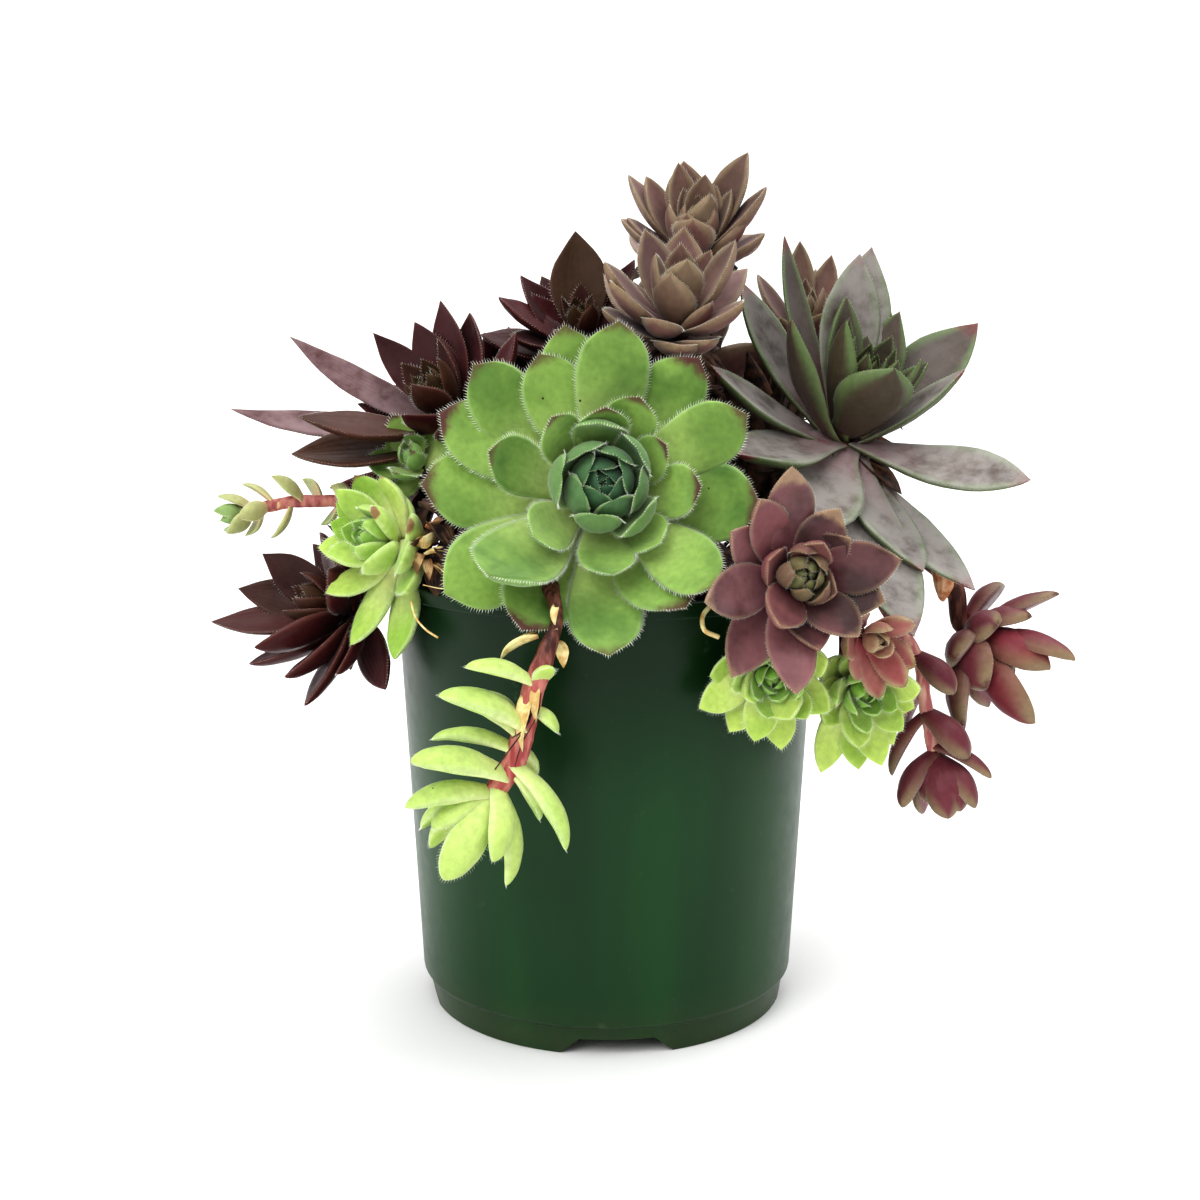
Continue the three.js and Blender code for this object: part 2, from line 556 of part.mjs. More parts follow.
function potSolid() {
  const floorTop = FLOOR_UNDERSIDE + FLOOR_THICKNESS;
  const lipBottom = RIM_HEIGHT - LIP_DEPTH;
  const wallAt = (z) => THREE.MathUtils.mapLinear(z, STEP_HEIGHT, RIM_HEIGHT, STEP_RADIUS, RIM_RADIUS);
  const profile = [
    [0, FLOOR_UNDERSIDE],
    [FOOT_RADIUS - WALL, FLOOR_UNDERSIDE],
    [FOOT_RADIUS - WALL, 0],
    [FOOT_RADIUS, 0],
    [FOOT_TOP_RADIUS, STEP_HEIGHT - 1],
    [STEP_RADIUS, STEP_HEIGHT],
    [wallAt(lipBottom) - LIP_PROUD, lipBottom],
    [RIM_RADIUS, lipBottom],
    [RIM_RADIUS, RIM_HEIGHT],
    [RIM_RADIUS - LIP_PROUD - WALL, RIM_HEIGHT],
    [FOOT_TOP_RADIUS - WALL, floorTop],
    [0, floorTop],
  ];
  const shell = toSolid(lathe(profile, POT_SIDES));

  const notch = new THREE.Shape([
    new THREE.Vector2(-NOTCH_BOTTOM_WIDTH / 2, -0.5),
    new THREE.Vector2(NOTCH_BOTTOM_WIDTH / 2, -0.5),
    new THREE.Vector2(NOTCH_TOP_WIDTH / 2, FLOOR_UNDERSIDE - 0.1),
    new THREE.Vector2(-NOTCH_TOP_WIDTH / 2, FLOOR_UNDERSIDE - 0.1),
  ]);
  const cutters = [];
  for (let i = 0; i < NOTCH_COUNT; i += 1) {
    const turn = radians(NOTCH_TURN_DEG + (i * 360) / NOTCH_COUNT);
    const cutter = new THREE.ExtrudeGeometry(notch, { depth: 20, bevelEnabled: false });
    cutter.rotateX(Math.PI / 2).translate(0, -FOOT_RADIUS + 10, 0).rotateZ(turn);
    cutters.push(toSolid(cutter));
    const drain = new THREE.CylinderGeometry(DRAIN_RADIUS, DRAIN_RADIUS, 10, 16);
    drain.rotateX(Math.PI / 2).translate(0, -DRAIN_CIRCLE, floorTop).rotateZ(turn + Math.PI / 4);
    cutters.push(toSolid(drain));
  }
  return cutters.reduce((whole, cutter) => whole.subtract(cutter), shell);
}

function potClearance() {
  const profile = [
    [FOOT_RADIUS - WALL - GAP, -5],
    [STEP_RADIUS + GAP, -5],
    [RIM_RADIUS + GAP, RIM_HEIGHT - LIP_DEPTH],
    [RIM_RADIUS + GAP, RIM_HEIGHT + GAP],
    [RIM_RADIUS - LIP_PROUD - WALL - GAP, RIM_HEIGHT + GAP],
    [FOOT_RADIUS - WALL - GAP, -5],
  ];
  return toSolid(lathe(profile, POT_SIDES));
}

// ---- Soil -----------------------------------------------------------------------------------

function soilSolid() {
  const bottom = FLOOR_UNDERSIDE + FLOOR_THICKNESS + GAP;
  const innerFoot = FOOT_TOP_RADIUS - WALL;
  const innerRim = RIM_RADIUS - LIP_PROUD - WALL;
  const innerAt = (z) => THREE.MathUtils.mapLinear(z, bottom, RIM_HEIGHT, innerFoot, innerRim) - GAP * 1.5;
  const profile = [
    [0, bottom],
    [innerAt(bottom), bottom],
    [innerAt(SOIL_EDGE_HEIGHT), SOIL_EDGE_HEIGHT],
    [innerAt(SOIL_EDGE_HEIGHT) * 0.8, SOIL_EDGE_HEIGHT + 3],
    [innerAt(SOIL_EDGE_HEIGHT) * 0.45, SOIL_CROWN_HEIGHT - 0.6],
    [0, SOIL_CROWN_HEIGHT],
  ];
  return toSolid(lathe(profile, SOIL_SIDES));
}

// ---- Assembly -------------------------------------------------------------------------------
// Pieces are stood one after another. Each later piece gives way, by GAP, to those before it,
// as leaves that grow against a neighbour do.

const plant = new THREE.Group();
const standing = [potClearance()];

function stand(name, paintName, solid, clearance) {
  const cut = standing.reduce((whole, neighbour) => whole.subtract(neighbour), solid);
  const mesh = new THREE.Mesh(toGeometry(largestPiece(cut)), MATERIALS[paintName]);
  mesh.name = name;
  plant.add(mesh);
  if (clearance) {
    standing.push(clearance);
  }
}

const rosettes = ROSETTES.map((row) => ({
  ...row,
  heart: new THREE.Vector3(...row.heart),
  frame: rosetteFrame(...row.face),
  curl: LEAF_CURL_DEG,
}));

const pot = new THREE.Mesh(toGeometry(potSolid()), MATERIALS.pot);
pot.name = 'pot';
plant.add(pot);

for (const rosette of rosettes) {
  stand(`${rosette.name}_stem`, 'stolon', stemSolid(rosette, 0), stemSolid(rosette, GAP));
}
for (const rosette of rosettes) {
  stand(rosette.name, rosette.paint, rosetteSolid(rosette, 0), rosetteSolid(rosette, GAP));
}
for (const shoot of SHOOTS) {
  stand(shoot.name, shoot.paint, shootSolid(shoot, 0), shootSolid(shoot, GAP));
}
for (const leaf of DRY_LEAVES) {
  stand(leaf.name, 'dry', dryLeafSolid(leaf, 0), dryLeafSolid(leaf, GAP));
}
standing.shift();
stand('soil', 'soil', soilSolid(), null);

plant.position.set(POT_AXIS_X, POT_AXIS_Y, 0);

export default plant;
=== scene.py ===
import math
import random

import bmesh
import bpy
from mathutils import Matrix, Vector


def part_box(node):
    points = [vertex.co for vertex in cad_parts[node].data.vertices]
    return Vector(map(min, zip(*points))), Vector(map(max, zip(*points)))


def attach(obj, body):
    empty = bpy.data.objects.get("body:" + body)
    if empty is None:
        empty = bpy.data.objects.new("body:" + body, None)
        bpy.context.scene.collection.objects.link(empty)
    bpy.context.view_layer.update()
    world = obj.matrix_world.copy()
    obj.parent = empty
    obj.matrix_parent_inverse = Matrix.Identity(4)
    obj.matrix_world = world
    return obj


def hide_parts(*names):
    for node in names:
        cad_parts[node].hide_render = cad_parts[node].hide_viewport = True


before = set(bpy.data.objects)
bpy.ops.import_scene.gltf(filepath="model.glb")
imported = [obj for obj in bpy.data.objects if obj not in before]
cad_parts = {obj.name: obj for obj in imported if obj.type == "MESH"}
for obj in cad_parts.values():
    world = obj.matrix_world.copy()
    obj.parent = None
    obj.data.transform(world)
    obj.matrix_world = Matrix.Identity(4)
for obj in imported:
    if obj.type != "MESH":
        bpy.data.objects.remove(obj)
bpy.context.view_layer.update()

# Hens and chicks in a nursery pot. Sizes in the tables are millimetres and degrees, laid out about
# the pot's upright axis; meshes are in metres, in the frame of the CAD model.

MM = 0.001
GOLDEN_ANGLE = 137.508

# The pot, as in the CAD model: rim and lip, step and foot, wall and floor, notches, drain holes, and
# how many sides the round shapes have.
RIM_RADIUS, RIM_HEIGHT, LIP_DEPTH, LIP_PROUD = 51, 104, 3.5, 0.8
STEP_RADIUS, STEP_HEIGHT, FOOT_TOP_RADIUS, FOOT_RADIUS = 45.1, 7.5, 43.7, 42.8
WALL, FLOOR_UNDERSIDE, FLOOR_THICKNESS = 1.4, 4, 1.4
NOTCH_TOP_WIDTH, NOTCH_BOTTOM_WIDTH, NOTCH_TURN, NOTCHES = 17, 27, 3, 4
DRAIN_RADIUS, DRAIN_CIRCLE, DRAIN_SIDES, POT_SIDES, SOIL_SIDES = 4, 29, 32, 160, 64
SOIL_EDGE_HEIGHT = 95

# Where dead leaves would cut through the pot's wall: up to this height, between these radii.
WALL_TOP, WALL_INSIDE, WALL_OUTSIDE = RIM_HEIGHT + 2, 44, RIM_RADIUS + 3

pot_low, pot_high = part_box("pot")
POT_AXIS = Vector(((pot_low.x + pot_high.x) / 2, (pot_low.y + pot_high.y) / 2, 0))

scene = bpy.context.scene


# ---- Small tools -----------------------------------------------------------------------------

def placed(point):
    """A point given in millimetres about the pot's axis, in metres in the frame."""
    return Vector(point) * MM + POT_AXIS


def per_mm(size):
    """Scale of a texture on Object coordinates whose features are this many millimetres wide."""
    return 1 / (size * MM)


def rgb(code):
    """Linear colour of an sRGB hex code such as 7DB356."""
    parts = [int(code[i:i + 2], 16) / 255 for i in (0, 2, 4)]
    return (*[c / 12.92 if c <= 0.04045 else ((c + 0.055) / 1.055) ** 2.4 for c in parts], 1)


def live(sockets, key=None):
    """The first socket in use, or the one in use of that name."""
    return next(s for s in sockets if s.enabled and key in (None, s.name))


def new_object(name, data):
    made = bpy.data.objects.new(name, data)
    scene.collection.objects.link(made)
    return made


def hand_in(piece, slot, stands_for=()):
    """Makes a finished piece ride on the part's one body."""
    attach(piece, "root")
    if stands_for:
        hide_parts(*stands_for)


class Tree:
    """Adds nodes to one node tree."""

    def __init__(self, node_tree):
        self.node_tree = node_tree

    def fill(self, node, inputs):
        """Gives a node's inputs, named or numbered, their values, or links them to other nodes."""
        for key, value in inputs.items():
            socket = node.inputs[key] if isinstance(key, int) else live(node.inputs, key)
            if isinstance(value, bpy.types.Node):
                value = live(value.outputs)
            if isinstance(value, bpy.types.NodeSocket):
                self.node_tree.links.new(value, socket)
            else:
                socket.default_value = value

    def add(self, kind, inputs=None, **settings):
        """Adds a node, sets its properties and fills its inputs."""
        made = self.node_tree.nodes.new(kind)
        for name, value in settings.items():
            setattr(made, name, value)
        self.fill(made, inputs or {})
        return made

    def maths(self, operation, *values, clamp=False):
        return self.add("ShaderNodeMath", dict(enumerate(values)), operation=operation, use_clamp=clamp)

    def product(self, first, *others):
        for other in others:
            first = self.maths("MULTIPLY", first, other)
        return first

    def mapped(self, value, low, high, to_low, to_high, way="LINEAR"):
        """Turns the range from low to high into the range from to_low to to_high."""
        return self.add("ShaderNodeMapRange", {
            "Value": value, "From Min": low, "From Max": high, "To Min": to_low, "To Max": to_high},
            interpolation_type=way)

    def between(self, value, low, high):
        """0 below low, 1 above high, with a soft change between; the other way round if low is larger."""
        return self.mapped(value, low, high, 0, 1, "SMOOTHSTEP")

    def split(self, vector):
        """The X, Y and Z of a vector."""
        return self.add("ShaderNodeSeparateXYZ", {"Vector": vector}).outputs


# ---- Camera ----------------------------------------------------------------------------------
# A 50 mm lens on a 36 mm sensor, in front of the pot and above it, looking down 9.5 degrees.

camera_data = bpy.data.cameras.new("camera")
camera_data.lens = 50
camera_data.sensor_width = 36
camera = new_object("camera", camera_data)
camera.location = placed((-1.6, -395, 162.6))
camera.rotation_euler = (math.radians(90 - 9.5), 0, 0)
scene.camera = camera


# ---- Materials -------------------------------------------------------------------------------

class Finish(Tree):
    """A new material, made on Object coordinates. Colours are given as hex codes or as nodes."""

    def __init__(self, name):
        self.material = bpy.data.materials.new(name)
        self.material.use_nodes = True
        super().__init__(self.material.node_tree)
        self.place = self.add("ShaderNodeTexCoord").outputs["Object"]

    def attribute(self, label):
        return self.add("ShaderNodeAttribute", attribute_name=label).outputs["Fac"]

    def lengthwise(self, squeeze):
        """The place squeezed along Z, for a texture that is drawn out lengthwise."""
        return self.add("ShaderNodeMapping", {"Vector": self.place, "Scale": (1.0, 1.0, squeeze)})

    def noise(self, size, detail=2.0, roughness=0.5, distortion=0.0, place=None):
        return self.add("ShaderNodeTexNoise", {
            "Vector": place or self.place, "Scale": per_mm(size), "Detail": detail, "Roughness": roughness,
            "Distortion": distortion})

    def mix(self, share, first, second, blend="MIX"):
        first, second = (rgb(c) if isinstance(c, str) else c for c in (first, second))
        return self.add("ShaderNodeMix", {0: share, 6: first, 7: second}, data_type="RGBA", blend_type=blend)

    def bump(self, height, strength, depth):
        return self.add("ShaderNodeBump", {"Height": height, "Strength": strength, "Distance": depth * MM})

    def made(self, colour, roughness, **more):
        """Fills the shader, with more of its inputs written like_this, and returns the material."""
        shader = self.node_tree.nodes["Principled BSDF"]
        colour = rgb(colour) if isinstance(colour, str) else colour
        named = {key.replace("_", " "): value for key, value in more.items()}
        self.fill(shader, {"Base Color": colour, "Roughness": roughness, **named})
        return self.material


def leaf_skin(
        name, body, light, heart, base, tip, margin, under, roughness, sheen, glow, bloom=0.0, speck=0.0,
        dust="B9B4BC", bloom_ages=(0.55, 0.85), rim_start=0.8, rim_full=1.0, rim_strength=0.7,
        end_reach=0.0, point_start=1.07, point_soft=0.06, foot_end=0.5):
    """Living succulent leaf: a waxy or downy skin over watery flesh.

    body and light alternate in soft patches, heart colours the young leaves, base the foot of each
    leaf, tip its coloured point, margin its rim and under its back. bloom is the pale wax, of the
    colour dust, that dulls the upper side of leaves of the bloom_ages and older, and glow the light
    that passes through the flesh. speck is the size of dark specks. The rim's colour grows from
    rim_start to rim_full of the half width and, with end_reach, spreads over the leaf's end. The
    foot's colour ends at foot_end of the length. A higher point_start makes the coloured point
    smaller, point_soft is how softly it begins."""
    skin = Finish(name)
    along, across, lift, tone, age, blush = (
        skin.attribute(label) for label in ("along", "across", "lift", "tone", "age", "blush"))
    grain = skin.noise(1.4, detail=4.0)
    patches = skin.between(skin.noise(14, detail=3.0), 0.38, 0.62)
    lightness = skin.maths("MULTIPLY_ADD", patches, 0.6, 0.2)
    lightness = skin.maths("MULTIPLY_ADD", tone, 0.45, lightness, clamp=True)
    colour = skin.mix(lightness, body, light)

    colour = skin.mix(skin.between(along, foot_end, 0.03), colour, base)
    back = skin.between(lift, 0.15, -0.35)
    colour = skin.mix(skin.product(back, 0.75), colour, under)
    colour = skin.mix(skin.between(age, 0.55, 0.12), colour, heart)

    edge = skin.maths("ABSOLUTE", across)
    end = skin.maths("POWER", along, 4.0)
    rim = skin.between(skin.maths("MULTIPLY_ADD", end, end_reach, edge), rim_start, rim_full)
    colour = skin.mix(skin.product(rim, rim_strength), colour, margin)

    reach = skin.maths("MULTIPLY_ADD", grain, 0.1, along)
    reach = skin.maths("MULTIPLY_ADD", edge, 0.02, reach)
    reach = skin.maths("MULTIPLY_ADD", blush, 0.12, reach)
    point = skin.between(reach, point_start, point_start + point_soft)
    colour = skin.mix(skin.maths("MULTIPLY", point, blush, clamp=True), colour, tip)

    colour = skin.mix(1.0, colour, skin.mapped(grain, 0.3, 0.7, 0.88, 1.1), "MULTIPLY")
    if bloom:
        wax = skin.between(skin.noise(7, detail=6.0, roughness=0.65), 0.2, 0.62)
        grown = skin.mapped(age, *bloom_ages, bloom * 0.08, bloom)
        colour = skin.mix(skin.product(wax, grown, skin.maths("SUBTRACT", 1.0, back)), colour, dust)
    if speck:
        dots = skin.add("ShaderNodeTexVoronoi", {"Vector": skin.place, "Scale": per_mm(7), "Randomness": 1.0})
        colour = skin.mix(skin.between(dots.outputs["Distance"], speck, speck * 0.6), colour, "2A2418")

    veins = skin.maths("SINE", skin.product(across, 26.0))
    ridges = skin.maths("MULTIPLY_ADD", veins, 0.12, grain)
    return skin.made(
        colour, skin.mapped(grain, 0.3, 0.7, roughness - 0.07, roughness + 0.09),
        Normal=skin.bump(ridges, 0.3, 0.25), IOR=1.42, Specular_IOR_Level=0.2,
        Sheen_Weight=sheen, Sheen_Roughness=0.45, Subsurface_Weight=glow,
        Subsurface_Radius=(1.0, 1.2, 0.35), Subsurface_Scale=1.6 * MM)


SKINS = {
    # Downy green flesh, dull and soft; short white hairs give it a velvet edge, sun browns its points.
    "green_leaf": leaf_skin(
        "downy_green_leaf", body="4C7030", light="86A653", heart="365A40", base="CADB8C", tip="54302E",
        margin="A9C488", under="7A9C58", roughness=0.55, sheen=0.3, glow=0.12, speck=0.05,
        rim_start=0.86, rim_strength=0.4, point_start=1.045, point_soft=0.09, foot_end=0.75),
    # Young shoots grown in shade: thin pale skin, bright and watery.
    "lime_leaf": leaf_skin(
        "pale_shoot_leaf", body="8FB34A", light="BCD36E", heart="86AE52", base="E4E8A8", tip="8A6A46",
        margin="D2E0AC", under="B4CC74", roughness=0.45, sheen=0.2, glow=0.2, speck=0.03,
        rim_start=0.84, rim_strength=0.4, point_start=1.1, foot_end=0.8),
    # Brownish mauve skin that turns beige at the rim and the point, dull; maroon at the foot.
    "mauve_leaf": leaf_skin(
        "brown_mauve_leaf", body="58403C", light="7E5E58", heart="6E5C4A", base="582A34", tip="927C5E",
        margin="8C7A62", under="7E5A54", roughness=0.5, sheen=0.15, glow=0.08, bloom=0.12,
        rim_start=0.66, rim_full=1.05, rim_strength=0.75, end_reach=0.45, point_start=1.0, point_soft=0.2),
    # Smooth mauve-brown skin under a coat of pale wax, green along the rim and the end, pink at the foot.
    "grey_leaf": leaf_skin(
        "waxed_grey_leaf", body="463C38", light="5E524A", heart="484230", base="7C4450", tip="6A3030",
        margin="62784A", under="43362F", roughness=0.42, sheen=0.04, glow=0.06, bloom=0.6, dust="A8A4A0",
        rim_start=0.66, rim_full=1.02, rim_strength=0.72, end_reach=0.35, point_start=1.05, point_soft=0.08),
    # Dark wine-red skin, satin, almost black in shade; old leaves are dulled by a pinkish bloom.
    "red_leaf": leaf_skin(
        "wine_red_leaf", body="300C10", light="4C1E20", heart="443420", base="24080C", tip="6E4238",
        margin="6A4038", under="40191A", roughness=0.38, sheen=0.04, glow=0.04, bloom=0.72, dust="8A7476",
        bloom_ages=(1.0, 1.3), rim_start=0.9, rim_strength=0.5, point_start=1.04, point_soft=0.16),
    # Wine-pink to brown skin with beige ends and olive hearts, satin.
    "rose_leaf": leaf_skin(
        "rose_mauve_leaf", body="3A2220", light="7C484A", heart="666A44", base="6E2A34", tip="94785C",
        margin="8C7258", under="7E4852", roughness=0.46, sheen=0.08, glow=0.08, bloom=0.1,
        rim_start=0.84, rim_full=1.1, rim_strength=0.55, end_reach=0.25, point_start=1.02, point_soft=0.16),
    # Young leaves grown under the others: salmon pink, pale and watery, tan at the ends.
    "salmon_leaf": leaf_skin(
        "salmon_shoot_leaf", body="8E4E4C", light="AA726A", heart="987860", base="9C4650", tip="86724E",
        margin="A49070", under="9A645C", roughness=0.42, sheen=0.1, glow=0.12,
        rim_start=0.6, rim_full=1.5, rim_strength=0.85, end_reach=0.95, point_start=1.06),
    # Small leaves of a drying runner: tan-green, peach at the foot.
    "sprout_leaf": leaf_skin(
        "tan_green_leaf", body="84985A", light="BCB884", heart="6E9E5A", base="DCAE88", tip="6A7636",
        margin="C8CC98", under="A8A874", roughness=0.45, sheen=0.2, glow=0.15,
        rim_start=0.84, rim_strength=0.4, point_start=1.0, point_soft=0.15, foot_end=0.6),
    # Plump young leaves, wine red at the foot, olive-tan over their outer half; dark red points.
    "wine_leaf": leaf_skin(
        "wine_pink_leaf", body="5A2630", light="84404A", heart="7A3038", base="7E2838", tip="4A1A20",
        margin="86765A", under="64323A", roughness=0.4, sheen=0.1, glow=0.1, bloom=0.12,
        rim_start=0.6, rim_full=1.5, rim_strength=0.85, end_reach=0.95, point_start=1.06),
}


def hair_material():
    """Clear plant hairs: hollow and glassy, so that they look white where light catches them."""
    hair = Finish("leaf_cilia")
    colour = hair.mix(hair.between(hair.noise(5), 0.4, 0.6), "E3E8D4", "F4F4EE")
    return hair.made(colour, 0.45, IOR=1.45, Subsurface_Weight=0.1, Subsurface_Scale=0.5 * MM)


def runner_material(name, skin, blush, bark_height):
    """Runner or stem of a houseleek: fleshy skin, streaked lengthwise, that turns to brown bark above
    bark_height, with flakes of tan paper, the dry remains of old scales."""
    runner = Finish(name)
    drawn_out = runner.lengthwise(0.25)
    flesh = runner.noise(1.5, detail=3.0, place=drawn_out)
    paper = runner.noise(2.4, detail=5.0, distortion=0.8, place=drawn_out)
    colour = runner.mix(runner.between(flesh, 0.35, 0.65), skin, blush)
    bark_colour = runner.mix(runner.between(flesh, 0.4, 0.6), "3E1E1A", "704438")
    height = runner.split(runner.place)["Z"]
    bark = runner.between(height, (bark_height - 10) * MM, bark_height * MM)
    colour = runner.mix(bark, colour, bark_colour)
    torn = runner.between(paper, 0.66, 0.7)
    colour = runner.mix(torn, colour, "C8A878")
    colour = runner.mix(runner.between(paper, 0.33, 0.25), colour, "3E1C14")
    return runner.made(
        colour, runner.mapped(torn, 0, 1, 0.6, 0.85), Normal=runner.bump(paper, 0.6, 0.5),
        Specular_IOR_Level=0.3, Subsurface_Weight=0.1, Subsurface_Radius=(1.2, 0.4, 0.25),
        Subsurface_Scale=1.0 * MM)


def dry_leaf_material(name, folds, paper):
    """Withered leaf: papery, darker along its folds."""
    leaf = Finish(name)
    fold = leaf.noise(2.5, detail=4.0)
    colour = leaf.mix(leaf.between(fold, 0.35, 0.65), folds, paper)
    streaks = leaf.maths("SINE", leaf.product(leaf.attribute("across"), 18.0))
    streaks = leaf.maths("MULTIPLY_ADD", streaks, 0.15, fold)
    return leaf.made(colour, 0.75, Normal=leaf.bump(streaks, 0.7, 0.5))


CILIA = hair_material()
BARK = runner_material("old_stem_bark", "5E2A28", "8A4A44", 60)
RUNNER = runner_material("fleshy_runner_skin", "A04444", "C67E74", 98)
PALE_RUNNER = runner_material("pale_runner_skin", "B4666A", "D8A898", 104)
YOUNG_RUNNER = runner_material("young_runner_skin", "8E4646", "B87A6E", 200)
WITHERED = dry_leaf_material("withered_leaf", "7A5430", "C8A878")
PALE_SCALE = dry_leaf_material("pale_dry_scale", "C8A060", "F0E4A8")
SALMON_SCALE = dry_leaf_material("faded_salmon_scale", "B8744A", "E0B08A")
# Dead matter, brown and darkened almost to black: partly its own colour, partly painted shade that fills the
# gaps between rosettes and stems.
DEAD_BROWN_AND_SHADE = dry_leaf_material("old_brown_leaf", "24130E", "5E3E2A")


# ---- Trees of Geometry Nodes -----------------------------------------------------------------

# Every input that a tree may have: kind of socket and default value.
GROWTH_INPUTS = {
    "Sides": ("Int", 14), "Stations": ("Int", 16), "Step": ("Float", 0.8 * MM),
    "Unevenness": ("Float", 0.25 * MM), "Seed": ("Int", 0), "Skin": ("Material", None),
    "Spacing": ("Float", 0.6 * MM), "Hair Length": ("Float", 1.0 * MM), "Hair Radius": ("Float", 0.06 * MM),
    "Crumb Size": ("Float", 1.6 * MM), "Density": ("Float", 90000.0),
}


class Growth(Tree):
    """A Geometry Nodes tree that takes and gives a geometry, with these of the named inputs."""

    def __init__(self, name, labels):
        super().__init__(bpy.data.node_groups.new(name, "GeometryNodeTree"))
        sockets = self.node_tree.interface
        for way in ("INPUT", "OUTPUT"):
            sockets.new_socket("Geometry", in_out=way, socket_type="NodeSocketGeometry")
        for label in labels:
            kind, value = GROWTH_INPUTS[label]
            socket = sockets.new_socket(label, in_out="INPUT", socket_type="NodeSocket" + kind)
            if value is not None:
                socket.default_value = value
        self.given = self.add("NodeGroupInput").outputs
        self.result = self.add("NodeGroupOutput")

    def named(self, label, kind="FLOAT"):
        return self.add("GeometryNodeInputNamedAttribute", {"Name": label}, data_type=kind)

    def stored(self, geometry, label, value, kind="FLOAT"):
        inputs = {"Geometry": geometry, "Name": label, "Value": value}
        return self.add("GeometryNodeStoreNamedAttribute", inputs, data_type=kind, domain="POINT")

    def scaled(self, vector, amount):
        return self.add("ShaderNodeVectorMath", {"Vector": vector, "Scale": amount}, operation="SCALE")

    def vectors(self, operation, first, second):
        return self.add("ShaderNodeVectorMath", {0: first, 1: second}, operation=operation)

    def curve(self, value, points):
        """A smooth curve through these points, the first and last at 0 and 1."""
        node = self.add("ShaderNodeFloatCurve", {"Value": value})
        line = node.mapping.curves[0]
        for point, place in ((line.points[0], points[0]), (line.points[-1], points[-1])):
            point.location = place
        for place in points[1:-1]:
            line.points.new(*place)
        node.mapping.update()
        return node

    def random(self, low, high, kind):
        first = {"FLOAT_VECTOR": 0, "FLOAT": 2}[kind]
        inputs = {first: low, first + 1: high, "Seed": self.given["Seed"]}
        return self.add("FunctionNodeRandomValue", inputs, data_type=kind)

    def resampled(self, mesh, step, **selection):
        """The mesh's edges as curves with a point at every step."""
        line = self.add("GeometryNodeMeshToCurve", {"Mesh": mesh, **selection})
        return self.add("GeometryNodeResampleCurve", {"Curve": line, "Length": step}, mode="LENGTH")

    def shifted(self, geometry, spot, size, detail):
        """Shifts each point by about Unevenness, in bumps this many millimetres wide."""
        bumps = self.add(
            "ShaderNodeTexNoise",
            {"Vector": spot, "W": self.given["Seed"], "Scale": per_mm(size), "Detail": detail},
            noise_dimensions="4D")
        centred = self.vectors("SUBTRACT", bumps.outputs["Color"], (0.5, 0.5, 0.5))
        shift = self.scaled(centred, self.product(self.given["Unevenness"], 4.0))
        return self.add("GeometryNodeSetPosition", {"Geometry": geometry, "Offset": shift})

    def realised(self, geometry):
        """One mesh, without the numbers that only shape a leaf."""
        whole = self.add("GeometryNodeRealizeInstances", {"Geometry": geometry})
        inputs = {"Geometry": whole, "Name": "leaf_*"}
        return self.add("GeometryNodeRemoveAttribute", inputs, pattern_mode="WILDCARD")

    def made(self, geometry):
        """Ends the tree in one mesh in its skin."""
        whole = self.add("GeometryNodeRealizeInstances", {"Geometry": geometry})
        whole = self.add("GeometryNodeSetMaterial", {"Geometry": whole, "Material": self.given["Skin"]})
        self.fill(self.result, {"Geometry": whole})
        return self.node_tree


def plain_mesh(name, plan, tree, values):
    """Runs the tree on the plan mesh and returns a new object that holds the result as a plain mesh."""
    holder = new_object(name + "_plan", plan)
    modifier = holder.modifiers.new("growth", "NODES")
    modifier.node_group = tree
    for item in tree.interface.items_tree:
        if item.in_out == "INPUT" and item.name in values:
            modifier[item.identifier] = values[item.name]
    graph = bpy.context.evaluated_depsgraph_get()
    mesh = bpy.data.meshes.new_from_object(
        holder.evaluated_get(graph), preserve_all_data_layers=True, depsgraph=graph)
    bpy.data.objects.remove(holder)
    mesh.name = name
    return new_object(name, mesh)


# ---- Leaves in Geometry Nodes ----------------------------------------------------------------
# The plan mesh has one vertex for each leaf. Its attributes say how that leaf stands: the middle
# line is an arc about leaf_centre, from the angle leaf_start back by leaf_bend, in the plane of
# the rosette's axis and the leaf's outward direction.

# Half width along a leaf, as a share of the largest.
OUTLINES = {
    "spoon": [
        (0, 0.3), (0.12, 0.38), (0.34, 0.64), (0.54, 0.92), (0.66, 1.0), (0.77, 0.96), (0.86, 0.79),
        (0.92, 0.55), (0.96, 0.27), (0.98, 0.1), (1, 0)],
    "chick": [
        (0, 0.46), (0.2, 0.62), (0.5, 1.0), (0.68, 0.95), (0.84, 0.66), (0.93, 0.34), (0.97, 0.14),
        (1, 0)],
    "lance": [
        (0, 0.5), (0.15, 0.6), (0.4, 0.92), (0.54, 1.0), (0.68, 0.92), (0.8, 0.7), (0.89, 0.43),
        (0.95, 0.2), (0.98, 0.07), (1, 0)],
    "spear": [
        (0, 0.5), (0.15, 0.62), (0.38, 0.95), (0.5, 1.0), (0.64, 0.9), (0.76, 0.69), (0.87, 0.4),
        (0.95, 0.16), (1, 0)],
    "bud": [
        (0, 0.55), (0.25, 0.78), (0.5, 0.97), (0.65, 1.0), (0.8, 0.94), (0.9, 0.77), (0.96, 0.5),
        (0.985, 0.28), (1, 0)],
    "scale": [(0, 0.8), (0.2, 1.0), (0.45, 0.94), (0.7, 0.6), (0.9, 0.24), (1, 0)],
    "finger": [(0, 0.62), (0.25, 0.8), (0.55, 1.0), (0.78, 0.84), (0.92, 0.5), (1, 0)],
}
# Thickness along a leaf, as a share of the largest, and how it is shared by its two sides.
FULLNESS = [(0, 0.5), (0.2, 0.75), (0.5, 1.0), (0.8, 0.72), (0.94, 0.4), (1, 0.0)]
LOWER_SHARE, UPPER_SHARE = 0.72, 0.38


